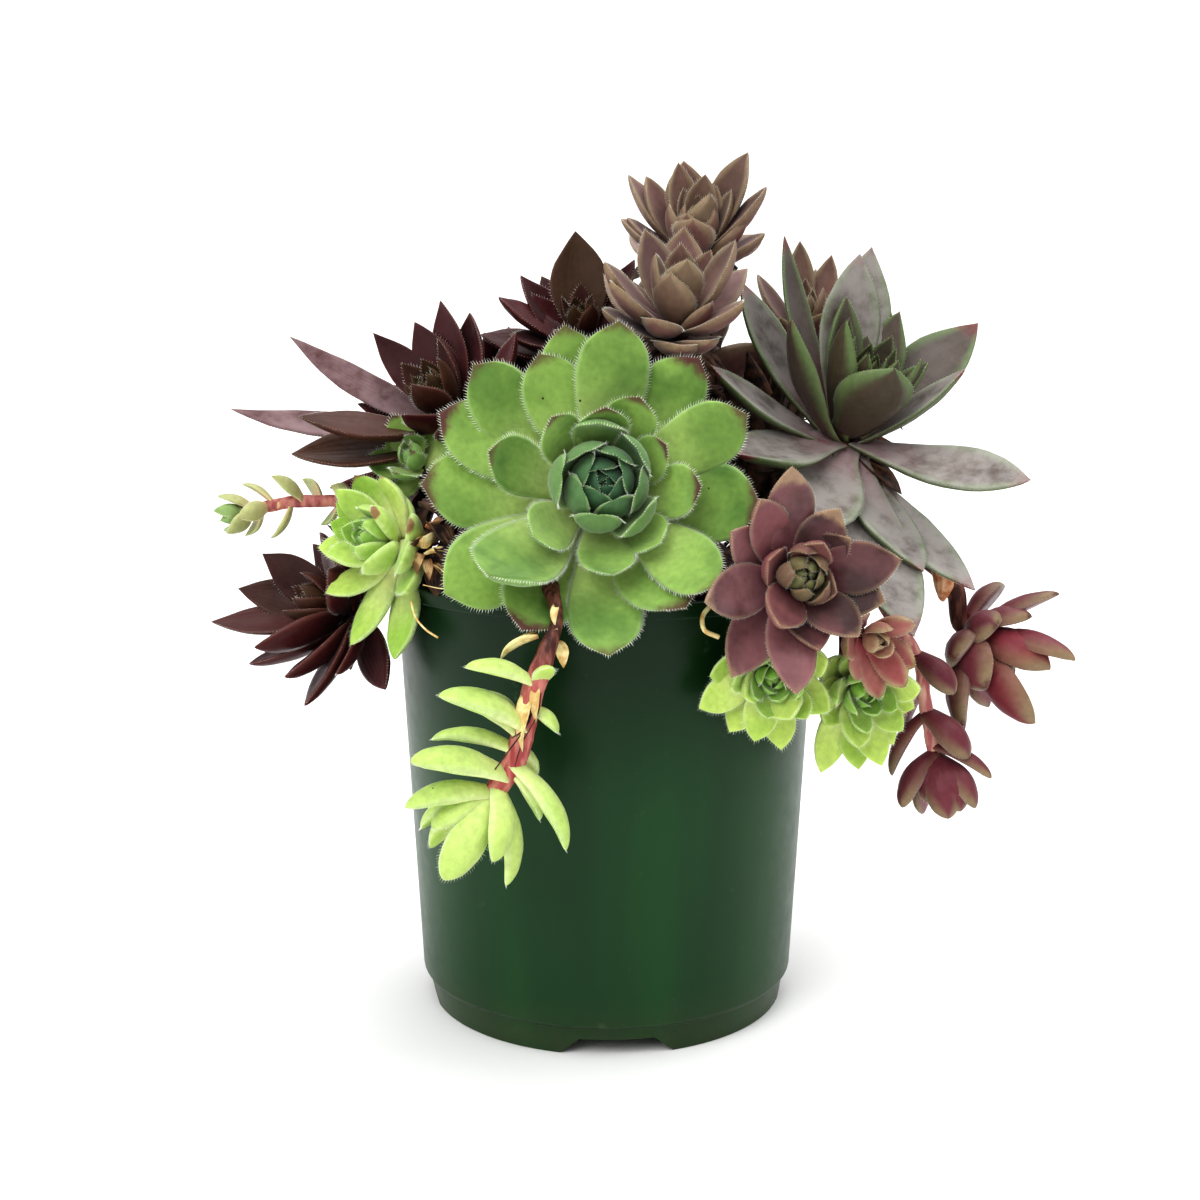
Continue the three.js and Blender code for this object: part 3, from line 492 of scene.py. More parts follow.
def leaf_shape_tree(outline):
    """Leaf blanks, one on each point of the plan, bent and swollen to the plan's sizes."""
    tree = Growth("leaf_shape_" + outline, ["Sides", "Stations", "Unevenness", "Seed"])
    given, maths, product, named = tree.given, tree.maths, tree.product, tree.named

    # The blank: a round bar along Z from 0 to 1, its rings closer towards the point, where they close.
    blank = tree.add(
        "GeometryNodeMeshCylinder",
        {"Vertices": given["Sides"], "Side Segments": given["Stations"], "Radius": 1.0, "Depth": 2.0},
        fill_type="NGON")
    x, y, z = tree.split(tree.add("GeometryNodeInputPosition"))
    height = maths("MULTIPLY_ADD", z, 0.5, 0.5)
    open_part = maths("LESS_THAN", height, 0.9999)
    spots = tree.add("ShaderNodeCombineXYZ", {
        "X": product(x, open_part), "Y": product(y, open_part),
        "Z": maths("SUBTRACT", 1.0, maths("POWER", maths("SUBTRACT", 1.0, height), 1.5))})
    blank = tree.add("GeometryNodeSetPosition", {"Geometry": live(blank.outputs, "Mesh"), "Position": spots})
    blank = tree.add("GeometryNodeMergeByDistance", {"Geometry": blank, "Distance": 0.00001})
    for label, value in (("along", z), ("across", x), ("lift", y)):
        blank = tree.stored(blank, label, value)
    leaves = tree.add("GeometryNodeInstanceOnPoints", {"Points": given["Geometry"], "Instance": blank})
    leaves = tree.add("GeometryNodeRealizeInstances", {"Geometry": leaves})

    # The section: how far each point lies beside and above the middle line.
    along, across, lift, length = named("along"), named("across"), named("lift"), named("leaf_length")
    half = product(tree.curve(along, OUTLINES[outline]), named("leaf_half"))
    thick = product(tree.curve(along, FULLNESS), named("leaf_thick"))
    share = tree.mapped(maths("GREATER_THAN", lift, 0.0), 0, 1, LOWER_SHARE, UPPER_SHARE)
    cup = product(across, across, half, named("leaf_cup"))
    hook = product(maths("POWER", along, 3.5), named("leaf_hook"), length)
    above = maths("ADD", maths("ADD", product(lift, share, thick), cup), hook)
    sway = product(along, along, named("leaf_sway"), length)
    beside = maths("MULTIPLY_ADD", across, half, sway)
    turn = product(along, named("leaf_twist"))
    twisted_beside = maths("SUBTRACT", beside, product(above, turn))
    twisted_above = maths("MULTIPLY_ADD", beside, turn, above)

    # The arc of the middle line.
    angle = maths("SUBTRACT", named("leaf_start"), product(along, named("leaf_bend")))
    sine, cosine = maths("SINE", angle), maths("COSINE", angle)
    centre, axis, out = (named(label, "FLOAT_VECTOR") for label in ("leaf_centre", "leaf_axis", "leaf_out"))

    def total(first, second):
        return tree.vectors("ADD", first, second)

    upper = total(tree.scaled(axis, sine), tree.scaled(out, product(cosine, -1.0)))
    forward = total(tree.scaled(axis, cosine), tree.scaled(out, sine))
    side = tree.vectors("CROSS_PRODUCT", axis, out)
    rise = maths("SUBTRACT", twisted_above, named("leaf_radius"))
    spot = total(total(centre, tree.scaled(upper, rise)), tree.scaled(side, twisted_beside))
    leaves = tree.add("GeometryNodeSetPosition", {"Geometry": leaves, "Position": spot})

    # Hairs stand sideways along the leaf and forward at its point.
    at_end = maths("POWER", along, 6.0)
    sideways = product(across, maths("SUBTRACT", 1.0, at_end))
    hair_way = total(tree.scaled(side, sideways), tree.scaled(forward, maths("ADD", at_end, 0.45)))
    leaves = tree.stored(leaves, "leaf_hair_way", hair_way, "FLOAT_VECTOR")
    tree.fill(tree.result, {"Geometry": tree.shifted(leaves, spot, 9, 1.0)})
    return tree.node_tree


def leaves_tree(outline, shape):
    """Finished leaves: the shaped blanks, smooth, in their skin."""
    passed_on = ("Sides", "Stations", "Unevenness", "Seed")
    tree = Growth("leaves_" + outline, [*passed_on, "Skin"])
    inputs = {label: tree.given[label] for label in ("Geometry", *passed_on)}
    leaves = tree.realised(tree.add("GeometryNodeGroup", inputs, node_tree=shape))
    return tree.made(tree.add("GeometryNodeSetShadeSmooth", {"Geometry": leaves}))


def cilia_tree(outline, shape):
    """Hairs along the rims of the same leaves: a slim three-sided spike at each step of the rim."""
    passed_on = ("Stations", "Unevenness", "Seed")
    tree = Growth("cilia_" + outline, [*passed_on, "Spacing", "Hair Length", "Hair Radius", "Skin"])
    given, maths = tree.given, tree.maths
    inputs = {label: given[label] for label in ("Geometry", *passed_on)}
    leaves = tree.add("GeometryNodeGroup", {"Sides": 4, **inputs}, node_tree=shape)
    along = tree.named("along")
    at_rim = maths("GREATER_THAN", maths("ABSOLUTE", tree.named("across")), 0.999)
    at_tip = maths("GREATER_THAN", along, 0.9999)
    on_rim = tree.product(maths("MAXIMUM", at_rim, at_tip), maths("GREATER_THAN", along, 0.12))
    leaves = tree.stored(leaves, "rim", on_rim, "BOOLEAN")
    line = tree.resampled(leaves, given["Spacing"], Selection=tree.named("rim", "BOOLEAN"))

    way = tree.named("leaf_hair_way", "FLOAT_VECTOR")
    way = tree.vectors("ADD", way, tree.random((-0.22,) * 3, (0.22,) * 3, "FLOAT_VECTOR"))
    hair = tree.add(
        "GeometryNodeMeshCone",
        {"Vertices": 3, "Side Segments": 1, "Radius Top": 0.0, "Radius Bottom": given["Hair Radius"],
         "Depth": given["Hair Length"]}, fill_type="NGON")
    hairs = tree.add("GeometryNodeInstanceOnPoints", {
        "Points": line, "Instance": live(hair.outputs, "Mesh"),
        "Rotation": tree.add("FunctionNodeAlignRotationToVector", {"Vector": way}, axis="Z"),
        "Scale": tree.random(0.65, 1.1, "FLOAT")})
    return tree.made(tree.realised(hairs))


SHAPES = {outline: leaf_shape_tree(outline) for outline in OUTLINES}
LEAVES = {outline: leaves_tree(outline, shape) for outline, shape in SHAPES.items()}
CILIA_TREES = {outline: cilia_tree(outline, shape) for outline, shape in SHAPES.items()}


# ---- Leaf plans ------------------------------------------------------------------------------

# How far a leaf's middle line curls in, how much further back every second leaf springs, and which
# numbers of a plan are lengths.
CURL = 24
LAYER_STEP = 2.2
LENGTHS = ("leaf_centre", "leaf_radius", "leaf_length", "leaf_half", "leaf_thick")


def facing(azimuth, elevation):
    """Axis, up and right of a rosette: azimuth 0 is the front and turns towards +X."""
    a, e = math.radians(azimuth), math.radians(elevation)
    axis = Vector((math.sin(a) * math.cos(e), -math.cos(a) * math.cos(e), math.sin(e)))
    up = Vector((-math.sin(a) * math.sin(e), math.cos(a) * math.sin(e), math.cos(e)))
    return axis, up, up.cross(axis)


def plan_leaf(
        heart, directions, clock, opening, length, width, thick, cup, back=0.0, inset=0.0, curl=CURL,
        hook=0.0, sway=0.0, twist=0.0, tone=0.0, age=1.0, blush=0.0):
    """One row of a plan. back is how far behind the heart the leaf springs, inset how far out."""
    axis, up, right = directions
    turn, bend, start = math.radians(clock), math.radians(curl), math.radians(opening + curl / 2)
    out = up * math.cos(turn) + right * math.sin(turn)
    radius = length / (2 * math.sin(bend / 2))
    base = heart - axis * back + out * inset
    return {
        "leaf_centre": base + (axis * math.sin(start) - out * math.cos(start)) * radius,
        "leaf_axis": axis, "leaf_out": out, "leaf_start": start, "leaf_bend": bend, "leaf_radius": radius,
        "leaf_length": length, "leaf_half": width / 2, "leaf_thick": thick, "leaf_cup": cup,
        "leaf_hook": hook, "leaf_sway": sway, "leaf_twist": twist, "tone": tone, "age": age, "blush": blush}


def meets_wall(row, steps=6):
    """Whether the leaf of this plan row would cut through the pot's wall."""
    for step in range(steps + 1):
        angle = row["leaf_start"] - row["leaf_bend"] * step / steps
        out_way = row["leaf_out"] * math.cos(angle) - row["leaf_axis"] * math.sin(angle)
        spot = row["leaf_centre"] + out_way * row["leaf_radius"]
        if spot.z < WALL_TOP and WALL_INSIDE < math.hypot(spot.x, spot.y) < WALL_OUTSIDE:
            return True
    return False


def plan_mesh(name, rows):
    """The plan as a mesh with one vertex for each leaf, in metres."""
    mesh = bpy.data.meshes.new(name + "_plan")
    mesh.from_pydata([(0, 0, 0)] * len(rows), [], [])
    for label, sample in rows[0].items():
        is_vector = isinstance(sample, Vector)
        layer = mesh.attributes.new(label, "FLOAT_VECTOR" if is_vector else "FLOAT", "POINT")
        for spot, row in zip(layer.data, rows):
            value = row[label] * MM if label in LENGTHS else row[label]
            if label == "leaf_centre":
                value += POT_AXIS
            if is_vector:
                spot.vector = value
            else:
                spot.value = value
    return mesh


def whorl(count, first_clock, opening, length, width):
    """Leaves of one size, evenly round the rosette."""
    return [(first_clock + i * 360 / count, opening, length, width) for i in range(count)]


# A leaf is (clock, opening from the axis, length, width) and what is special about it: hook, how far
# its point curls in as a share of the length, blush, how much more of the coloured point it shows than
# its kind, twist, tone, how light it is, and age, 1 if full-grown and more if old and bloomed.
# plump widens and thickens all leaves, skirt is the number of old brown leaves that hang below, near black as
# painted shade.
# heart_leaves is (count, opening of the outermost and of the innermost, their lengths, their
# widths), heart_curl how far the heart's leaves curl in, heart_age makes them older and heart_outline
# is their outline if different.
ROSETTES = {
    "green_hen": dict(
        skin="green_leaf", outline="spoon", heart=(-1.6, -42, 127), face=(8, 18), drop=8, crown=4.5,
        stem_radius=4.5, stem=[(-4, -20, 117), (-3, -14, 106), (-2, -12, 90)], skirt=16,
        leaves=[
            (9, 70, 36, 16), (350, 74, 36, 14), (338, 76, 31, 14), (316, 80, 37, 16), (300, 84, 36, 16),
            # The leaf at clock 238 has tone 1.2: partly its own pale colour, partly painted light for the
            # bright light and highlights on it.
            (273, 82, 36, 17), (238, 82, 38, 17.5, dict(blush=0.4, tone=1.2)), (213, 68, 37, 16),
            (180, 68, 38, 16), (152, 62, 34, 17), (134, 60, 36, 14), (98, 62, 36, 17), (64, 62, 36, 14),
            (36, 70, 36, 15), (358, 46, 21, 11.5), (26, 50, 25, 11.5), (320, 48, 23, 10.5),
            (288, 62, 27, 12.5), (229, 63, 36, 17, dict(hook=0.1, blush=0.5, twist=0.5)),
            (96, 50, 26, 11.5), (181, 54, 24, 12, dict(blush=0.4)), (62, 46, 21, 9.5),
            (236, 54, 23, 11.5, dict(blush=0.3)), (140, 50, 22, 11, dict(blush=0.3))],
        heart_leaves=(26, 50, 4, 18, 7, 11.5, 5), heart_curl=52, heart_outline="bud"),
    "mauve_rosette_top": dict(
        skin="mauve_leaf", outline="lance", heart=(20.8, 3, 180.5), face=(8, 62), drop=5, crown=3.2,
        stem_radius=3.5, stem=[(16, 18, 150), (12, 16, 120), (10, 14, 90)], skirt=12,
        leaves=[
            (300, 50, 23, 9), (308, 41, 22, 10), (328, 29, 20, 8), (355, 37, 23, 11), (11, 23, 17, 8),
            (36, 24, 17, 8), (62, 30, 25, 11), (83, 25, 18, 8), (106, 39, 23, 9), (122, 40, 17, 9),
            (150, 12, 14, 10), (268, 29, 15, 9), (335, 28, 14, 6), (273, 55, 19, 9), (267, 62, 19, 9),
            (120, 53, 19, 9), (187, 65, 15, 9), (0, 80, 20, 9), (60, 84, 19, 9), (320, 86, 19, 9),
            (200, 40, 17, 10), (220, 24, 14, 9)],
        heart_leaves=(14, 26, 3, 12, 6, 6, 3)),
    "mauve_rosette_front": dict(
        skin="mauve_leaf", outline="lance", heart=(15.6, -20, 164), face=(5, 56), drop=6, crown=3.6,
        stem_radius=3.5, stem=[(13, -3, 138), (10, 0, 112), (9, 0, 90)], skirt=14,
        leaves=[
            (340, 48, 22, 10), (10, 47, 24, 11), (6, 31, 17, 8), (41, 35, 19, 8), (90, 30, 23, 10),
            (131, 35, 14, 9), (137, 49, 22, 10), (159, 58, 17, 10), (209, 52, 18, 9), (269, 42, 25, 11),
            (245, 47, 24, 10), (243, 55, 24, 8), (282, 22, 17, 8), (217, 18, 17, 11), (183, 9, 16, 10),
            (186, 59, 18, 11), (60, 62, 20, 10), (310, 64, 20, 10), (30, 70, 19, 10)],
        heart_leaves=(14, 24, 3, 11, 6, 6, 3)),
    "grey_hen": dict(
        skin="grey_leaf", outline="lance", heart=(55, -12, 138.5), face=(35, 62), drop=3, crown=5,
        stem_radius=5, stem=[(43, 1, 114), (34, 2, 103), (30, 2, 90)], skirt=18,
        leaves=[
            (343, 44, 46, 9), (336, 56, 42, 14), (11, 31, 40, 16, dict(age=0.9)),
            (25, 30, 44, 16, dict(age=0.9)), (90, 45, 39, 17), (125, 38, 31, 11, dict(age=0.8)),
            (154, 73, 42, 15, dict(twist=0.7)), (171, 102, 44, 14), (195, 107, 54, 18), (187, 101, 37, 16),
            (229, 102, 34, 19), (294, 69, 36, 13), (262, 88, 34, 16), (295, 39, 34, 15), (1, 28, 30, 12),
            (55, 32, 32, 12), (199, 25, 24, 18), (285, 19, 30, 12), (122, 27, 24, 10), (34, 30, 24, 10)],
        heart_leaves=(14, 26, 4, 25, 18, 9, 4)),
    "rose_rosette": dict(
        skin="rose_leaf", outline="lance", heart=(39, -57.5, 111), face=(14, 8), drop=5, crown=3.4,
        stem_radius=2.8, stem=[(33, -40, 110), (28, -32, 103), (26, -28, 90)], skirt=10,
        leaves=[
            (349, 62, 24, 11, dict(tone=0.4, blush=2.4)), (324, 55, 22, 10, dict(tone=0.6)),
            (29, 56, 17, 10, dict(tone=-1, blush=2.4)), (50, 48, 15, 9, dict(tone=-1)),
            (83, 52, 22, 11, dict(tone=-1.5)), (108, 52, 20, 11, dict(tone=-1.5)),
            (148, 48, 19, 10, dict(tone=-1)), (173, 52, 18, 10), (194, 61, 26, 11, dict(tone=1)),
            (219, 76, 24, 11), (259, 66, 23, 11, dict(blush=1.4)), (300, 62, 19, 10),
            (216, 44, 17, 10, dict(tone=0.8)), (292, 42, 12, 9, dict(tone=1)), (20, 34, 12, 8),
            (120, 32, 12, 8)],
        heart_leaves=(14, 28, 3, 10, 5, 6, 2.6), heart_curl=110),
    "red_rosette_middle": dict(
        skin="red_leaf", outline="spear", heart=(-5.9, 6, 160), face=(-8, 60), drop=5, crown=3.2,
        stem_radius=3.2, stem=[(-4, 13, 130), (-3, 12, 108), (-2, 10, 90)], skirt=14,
        leaves=[
            (353, 34, 25, 14, dict(age=0.25)), (296, 44, 22, 11), (257, 50, 23, 11), (254, 68, 24, 13),
            (228, 62, 20, 11), (293, 44, 17, 9), (48, 46, 22, 10), (21, 44, 19, 9), (84, 50, 18, 10),
            (120, 46, 17, 10), (325, 60, 20, 10), (190, 40, 14, 10), (160, 56, 17, 10)],
        heart_leaves=(12, 28, 3, 12, 6, 6, 3)),
    "red_hen": dict(
        skin="red_leaf", outline="spear", heart=(-37, -6, 143), face=(-50, 48), drop=9, crown=4.2,
        stem_radius=4.2, stem=[(-24, 4, 118), (-21, 6, 104), (-20, 6, 90)], skirt=16,
        leaves=[
            (221, 50, 51, 9.5, dict(age=1.3, tone=0.8, twist=-0.35)),
            (255, 44, 46, 8, dict(age=1.3, tone=0.6, twist=-0.3)), (284, 38, 28, 9), (320, 36, 26, 12),
            (342, 40, 27, 11), (198, 53, 41, 13, dict(age=0.3, twist=-0.7)),
            (191, 46, 38, 12, dict(age=0.35, twist=-0.6)), (300, 60, 24, 11), (3, 48, 24, 13),
            (40, 56, 26, 12), (80, 58, 24, 12), (118, 52, 22, 12), (250, 58, 25, 9), (150, 40, 22, 9),
            (270, 68, 30, 12)],
        heart_leaves=(14, 30, 3, 17, 8, 8, 3.5)),
    "red_rosette_low": dict(
        skin="red_leaf", outline="spear", heart=(-64, -10, 97), face=(-70, 25), drop=5, crown=3, plump=1.2,
        stem_radius=2.2,
        stem=[(-57, -6, 101), (-52, -4, 108.5), (-44, -1, 108), (-36, 2, 100), (-34, 3, 90)], skirt=9,
        leaves=[
            (206, 34, 30, 9), (246, 30, 27, 9), (285, 32, 23, 9), (191, 50, 26, 10), (150, 44, 24, 12),
            (142, 60, 26, 11), (137, 78, 28, 10), (118, 78, 24, 9), (119, 108, 24, 9), (310, 52, 20, 9),
            (345, 50, 18, 9), (25, 52, 18, 9), (62, 54, 18, 9), (170, 22, 15, 8)],
        heart_leaves=(10, 20, 3, 12, 7, 6, 3)),
    "green_chick_left": dict(
        skin="lime_leaf", outline="chick", heart=(-50, -26, 114), face=(-45, 20), drop=6, crown=3,
        stem_radius=2.4, stem=[(-37, -15, 106), (-33, -13, 99), (-31, -12, 90)], skirt=8,
        leaves=[
            (321, 62, 18, 9, dict(blush=3)), (343, 59, 16, 9, dict(blush=3)), (317, 44, 17, 8),
            (298, 42, 17, 8), (39, 32, 13, 8, dict(age=0.7, blush=3.5)), (74, 52, 17, 9, dict(blush=3)),
            (128, 40, 15, 9), (213, 58, 19, 8), (187, 78, 23, 9), (159, 80, 26, 9), (248, 46, 16, 8),
            (276, 40, 16, 8), (222, 36, 14, 8), (127, 64, 18, 9), (104, 58, 17, 9), (350, 65, 12, 8)],
        heart_leaves=(14, 30, 4, 12, 6, 6, 3)),
    "green_chick_rear": dict(
        skin="green_leaf", tone=1, heart_age=0.3, outline="chick", heart=(-43.3, -15, 130.7),
        face=(-20, 35), drop=4, crown=2.4, stem_radius=2,
        stem=[(-38, 7, 112), (-38, 10, 102), (-37, 11, 90)],
        leaves=[
            (325, 56, 13, 8), (296, 52, 11, 7), (257, 56, 12, 8), (8, 48, 11, 7), (192, 40, 10, 7),
            (208, 62, 13, 7), (60, 56, 12, 8), (110, 54, 12, 8)],
        heart_leaves=(8, 30, 4, 9, 5, 5, 3)),
    "lime_chick_left": dict(
        # Painted light: tone 0.9 lightens these shoots, which grow in the shade of the rose rosette, to stand
        # in for light they catch there.
        skin="lime_leaf", tone=0.9, outline="chick", heart=(35, -50, 89), face=(-5, -10), drop=4, crown=2.6,
        stem_radius=1.8,
        stem=[(35, -44, 97), (31, -46, 104.5), (25, -42, 108.5), (20, -37, 104), (17, -33, 90)],
        leaves=[
            (248, 66, 17, 8), (216, 68, 16, 8), (196, 60, 15, 8), (176, 66, 17, 8), (250, 34, 11, 7),
            (272, 60, 14, 8), (154, 34, 13, 8), (310, 60, 13, 8), (20, 56, 12, 8), (70, 58, 13, 8),
            (118, 62, 14, 8)],
        heart_leaves=(18, 56, 4, 13, 5, 6.5, 2.6)),
    "lime_chick_right": dict(
        # Painted light: tone 0.9 lightens these shoots in the shade of the rose rosette, as on the other lime
        # chick.
        skin="lime_leaf", tone=0.9, outline="chick", heart=(55, -40, 84), face=(15, -10), drop=4, crown=2.6,
        stem_radius=1.8,
        stem=[(53, -33, 93), (52, -31, 102), (47.5, -26, 108.5), (40, -20, 106), (36, -17, 90)],
        leaves=[
            (203, 74, 20, 8), (180, 64, 19, 8), (166, 62, 18, 8), (146, 58, 16, 8), (76, 40, 15, 8),
            (50, 46, 14, 8), (196, 44, 15, 8), (226, 58, 12, 8), (262, 60, 13, 8), (300, 58, 12, 8),
            (340, 56, 12, 8), (112, 56, 14, 8)],
        heart_leaves=(18, 56, 4, 14, 5, 6.5, 2.6)),
    "pink_bud": dict(
        skin="salmon_leaf", outline="finger", heart=(55, -50, 97), face=(25, -8), drop=1.5, crown=1.8,
        plump=1.2, stem_radius=1.4,
        stem=[(51, -43, 101), (47, -38, 107.5), (42, -33, 110.5), (38, -29, 106), (35, -26, 90)],
        leaves=[
            (200, 70, 9, 5), (119, 52, 13, 5), (175, 66, 13, 5), (250, 50, 9, 5), (145, 54, 13, 5),
            (320, 50, 9, 5), (50, 48, 10, 5)],
        heart_leaves=(6, 30, 6, 8, 5, 4, 2.6)),
    "right_hanging_chick": dict(
        skin="wine_leaf", outline="chick", heart=(88, -15, 88.5), face=(60, -35), drop=4, crown=2.6,
        plump=1.3, stem_radius=2.2,
        stem=[
            (81, -12, 101), (75, -11, 107.5), (66, -10, 111), (56, -9, 111), (47, -7, 108), (41, -5, 100),
            (39, -4, 90)],
        leaves=[
            (18, 67, 20, 6), (50, 93, 15, 7), (4, 30, 22, 7), (346, 20, 19, 9), (226, 23, 23, 9),
            (250, 44, 16, 9), (218, 58, 22, 9), (317, 60, 10, 8), (257, 80, 12, 8), (4, 53, 14, 7),
            (95, 52, 16, 8), (130, 56, 16, 8), (160, 50, 17, 8)],
        heart_leaves=(9, 26, 4, 12, 6, 6, 3)),
    "narrow_rosette_rear": dict(
        skin="mauve_leaf", outline="lance", heart=(50, 28, 160), face=(10, 76), drop=4, crown=2.6,
        stem_radius=2.6, stem=[(44, 28, 130), (36, 24, 108), (33, 22, 90)], skirt=10,
        leaves=[
            (350, 26, 24, 8), (40, 30, 24, 8), (20, 44, 20, 8), (85, 46, 20, 8), (310, 46, 20, 8),
            (130, 52, 18, 8), (180, 54, 18, 8), (225, 54, 18, 8), (268, 54, 18, 8)],
        heart_leaves=(8, 24, 3, 14, 7, 5, 2.6)),
    "dark_rosette_rear": dict(
        skin="red_leaf", outline="spear", heart=(66, 22, 151), face=(30, 66), drop=4, crown=2.6,
        stem_radius=2.6, stem=[(58, 20, 126), (46, 14, 112), (38, 12, 102), (36, 11, 90)], skirt=10,
        leaves=[
            (31, 30, 20, 8), (60, 34, 18, 8), (356, 40, 19, 8), (100, 48, 18, 8), (145, 50, 17, 8),
            (190, 50, 17, 8), (235, 50, 17, 8), (280, 50, 17, 8), (322, 50, 17, 8)],
        heart_leaves=(8, 24, 3, 12, 6, 5, 2.6)),
    "mauve_hen_rear": dict(
        skin="mauve_leaf", outline="lance", heart=(14, 36, 150), face=(176, 42), drop=7, crown=4,
        stem_radius=3.4, stem=[(14, 25, 125), (15, 24, 105), (15, 23, 90)], skirt=14,
        leaves=whorl(9, 5, 74, 29, 13) + whorl(7, 25, 48, 21, 11), heart_leaves=(14, 34, 4, 15, 7, 8, 3.5)),
    "red_hen_rear": dict(
        skin="red_leaf", outline="spear", heart=(-22, 26, 146), face=(215, 48), drop=6, crown=3.6,
        stem_radius=3.2, stem=[(-15, 17, 122), (-15, 15, 105), (-14, 14, 90)], skirt=12,
        leaves=whorl(8, 0, 70, 25, 12) + whorl(6, 20, 44, 17, 10), heart_leaves=(13, 30, 4, 13, 6, 7, 3)),
    "green_chick_right": dict(
        skin="green_leaf", outline="chick", heart=(52, 24, 112), face=(112, 25), drop=4, crown=2.8,
        stem_radius=2.2, stem=[(40, 19, 105), (40, 17, 98), (40, 16, 90)], skirt=8,
        leaves=whorl(8, 0, 66, 18, 8) + whorl(5, 22, 42, 13, 7), heart_leaves=(10, 30, 4, 10, 5, 5, 2.6)),
    "green_hen_rear": dict(
        skin="green_leaf", outline="chick", heart=(-14, 44, 126), face=(192, 30), drop=6, crown=4,
        stem_radius=4, stem=[(-11, 27, 112), (-10, 23, 102), (-9, 22, 90)], skirt=12,
        leaves=whorl(9, 0, 78, 27, 15) + whorl(6, 14, 46, 18, 11), heart_leaves=(14, 32, 4, 13, 6, 8, 3.5)),
    "rose_rosette_rear": dict(
        skin="rose_leaf", outline="lance", heart=(28, 50, 122), face=(160, 28), drop=5, crown=3.4,
        stem_radius=3.2, stem=[(24, 36, 110), (24, 33, 101), (25, 32, 90)], skirt=12,
        leaves=whorl(9, 10, 68, 23, 11) + whorl(5, 30, 40, 16, 9), heart_leaves=(12, 28, 4, 12, 6, 6, 3)),
    "red_rosette_rear": dict(
        skin="red_leaf", outline="spear", heart=(-47, 27, 128), face=(235, 38), drop=5, crown=3.4,
        stem_radius=3.2, stem=[(-35, 19, 113), (-30, 17, 103), (-28, 16, 90)], skirt=12,
        leaves=whorl(9, 0, 64, 25, 11) + whorl(5, 20, 38, 17, 10), heart_leaves=(12, 26, 4, 13, 6, 6, 3)),
}

# Kinds of leaf that share a slot with another kind.
SHARED_SLOTS = {"wine_leaf": "rose_leaf", "salmon_leaf": "rose_leaf", "sprout_leaf": "lime_leaf"}

# Habit of each kind of leaf: thickness as a share of the width, cupping, incurving of the young
# leaves' points, share of coloured point, and the hairs of the rim: spacing, length and radius.
HABIT_NAMES = ("thick", "cup", "hook", "blush", "spacing", "hair", "hair_radius")
HABITS = {kind: dict(zip(HABIT_NAMES, numbers)) for kind, numbers in {
    "green_leaf": (0.26, 0.16, 0.2, 0.88, 0.6, 1.05, 0.085),
    "lime_leaf": (0.38, 0.1, 0.1, 0.35, 0.6, 0.85, 0.06),
    "mauve_leaf": (0.26, 0.26, 0.08, 0.8, 0.55, 0.7, 0.05),
    "grey_leaf": (0.2, 0.22, 0.04, 0.9, 0.9, 0.35, 0.035),
    "red_leaf": (0.2, 0.24, 0.04, 0.7, 0.7, 0.75, 0.04),
    "salmon_leaf": (0.3, 0.2, 0.1, 0.8, 0.7, 0.4, 0.045),
    "sprout_leaf": (0.38, 0.1, 0.1, 0.8, 0.6, 0.5, 0.05),
    "wine_leaf": (0.34, 0.14, 0.08, 0.7, 0.9, 0.3, 0.04),
    "rose_leaf": (0.28, 0.24, 0.1, 0.8, 0.6, 0.5, 0.045),
}.items()}


def rosette_plan(rosette, dice):
    """The grown leaves of a rosette's table, and the spiral of young leaves in its heart."""
    directions = facing(*rosette["face"])
    habit = HABITS[rosette["skin"]]
    plump = rosette.get("plump", 1)

    def stand(clock, opening, length, width, back, age, hook, curl=CURL, twist=0.0, blush=1.0, tone=0.0):
        width *= plump
        spread = math.sin(math.radians(min(opening, 90)))
        ripeness = min(1, max(0, age - 0.35) * 4)
        return plan_leaf(
            Vector(rosette["heart"]), directions, clock, opening, length, width, back=back,
            inset=rosette["crown"] * 0.6 * spread, curl=curl, thick=width * habit["thick"] * plump,
            cup=habit["cup"] + 0.2 * (1 - age), hook=hook, sway=dice.uniform(-0.05, 0.05),
            twist=twist + dice.uniform(-0.16, 0.16),
            tone=tone + rosette.get("tone", 0) + dice.uniform(-1, 1), age=age,
            blush=blush * habit["blush"] * dice.uniform(0.75, 1.15) * ripeness)

    grown, young = [], []
    for i, (clock, opening, length, width, *special) in enumerate(rosette["leaves"]):
        back = rosette["drop"] * min(opening / 90, 1.25) + (i % 2) * LAYER_STEP
        age = min(opening / 75, 1)
        habits = {"age": age, "hook": habit["hook"] * (1.2 - age), **(special[0] if special else {})}
        grown.append(stand(clock, opening, length, width, back, **habits))
    count, open_out, open_in, long_out, long_in, wide_out, wide_in = rosette["heart_leaves"]
    for i in range(count):
        share = i / (count - 1)
        young.append(stand(
            i * GOLDEN_ANGLE, open_out + (open_in - open_out) * share ** 0.8,
            long_out + (long_in - long_out) * share, wide_out + (wide_in - wide_out) * share,
            rosette["drop"] * 0.2 * (1 - share), 0.4 * (1 - share) + rosette.get("heart_age", 0),
            habit["hook"] * 1.3, rosette.get("heart_curl", 40)))
    return grown, young


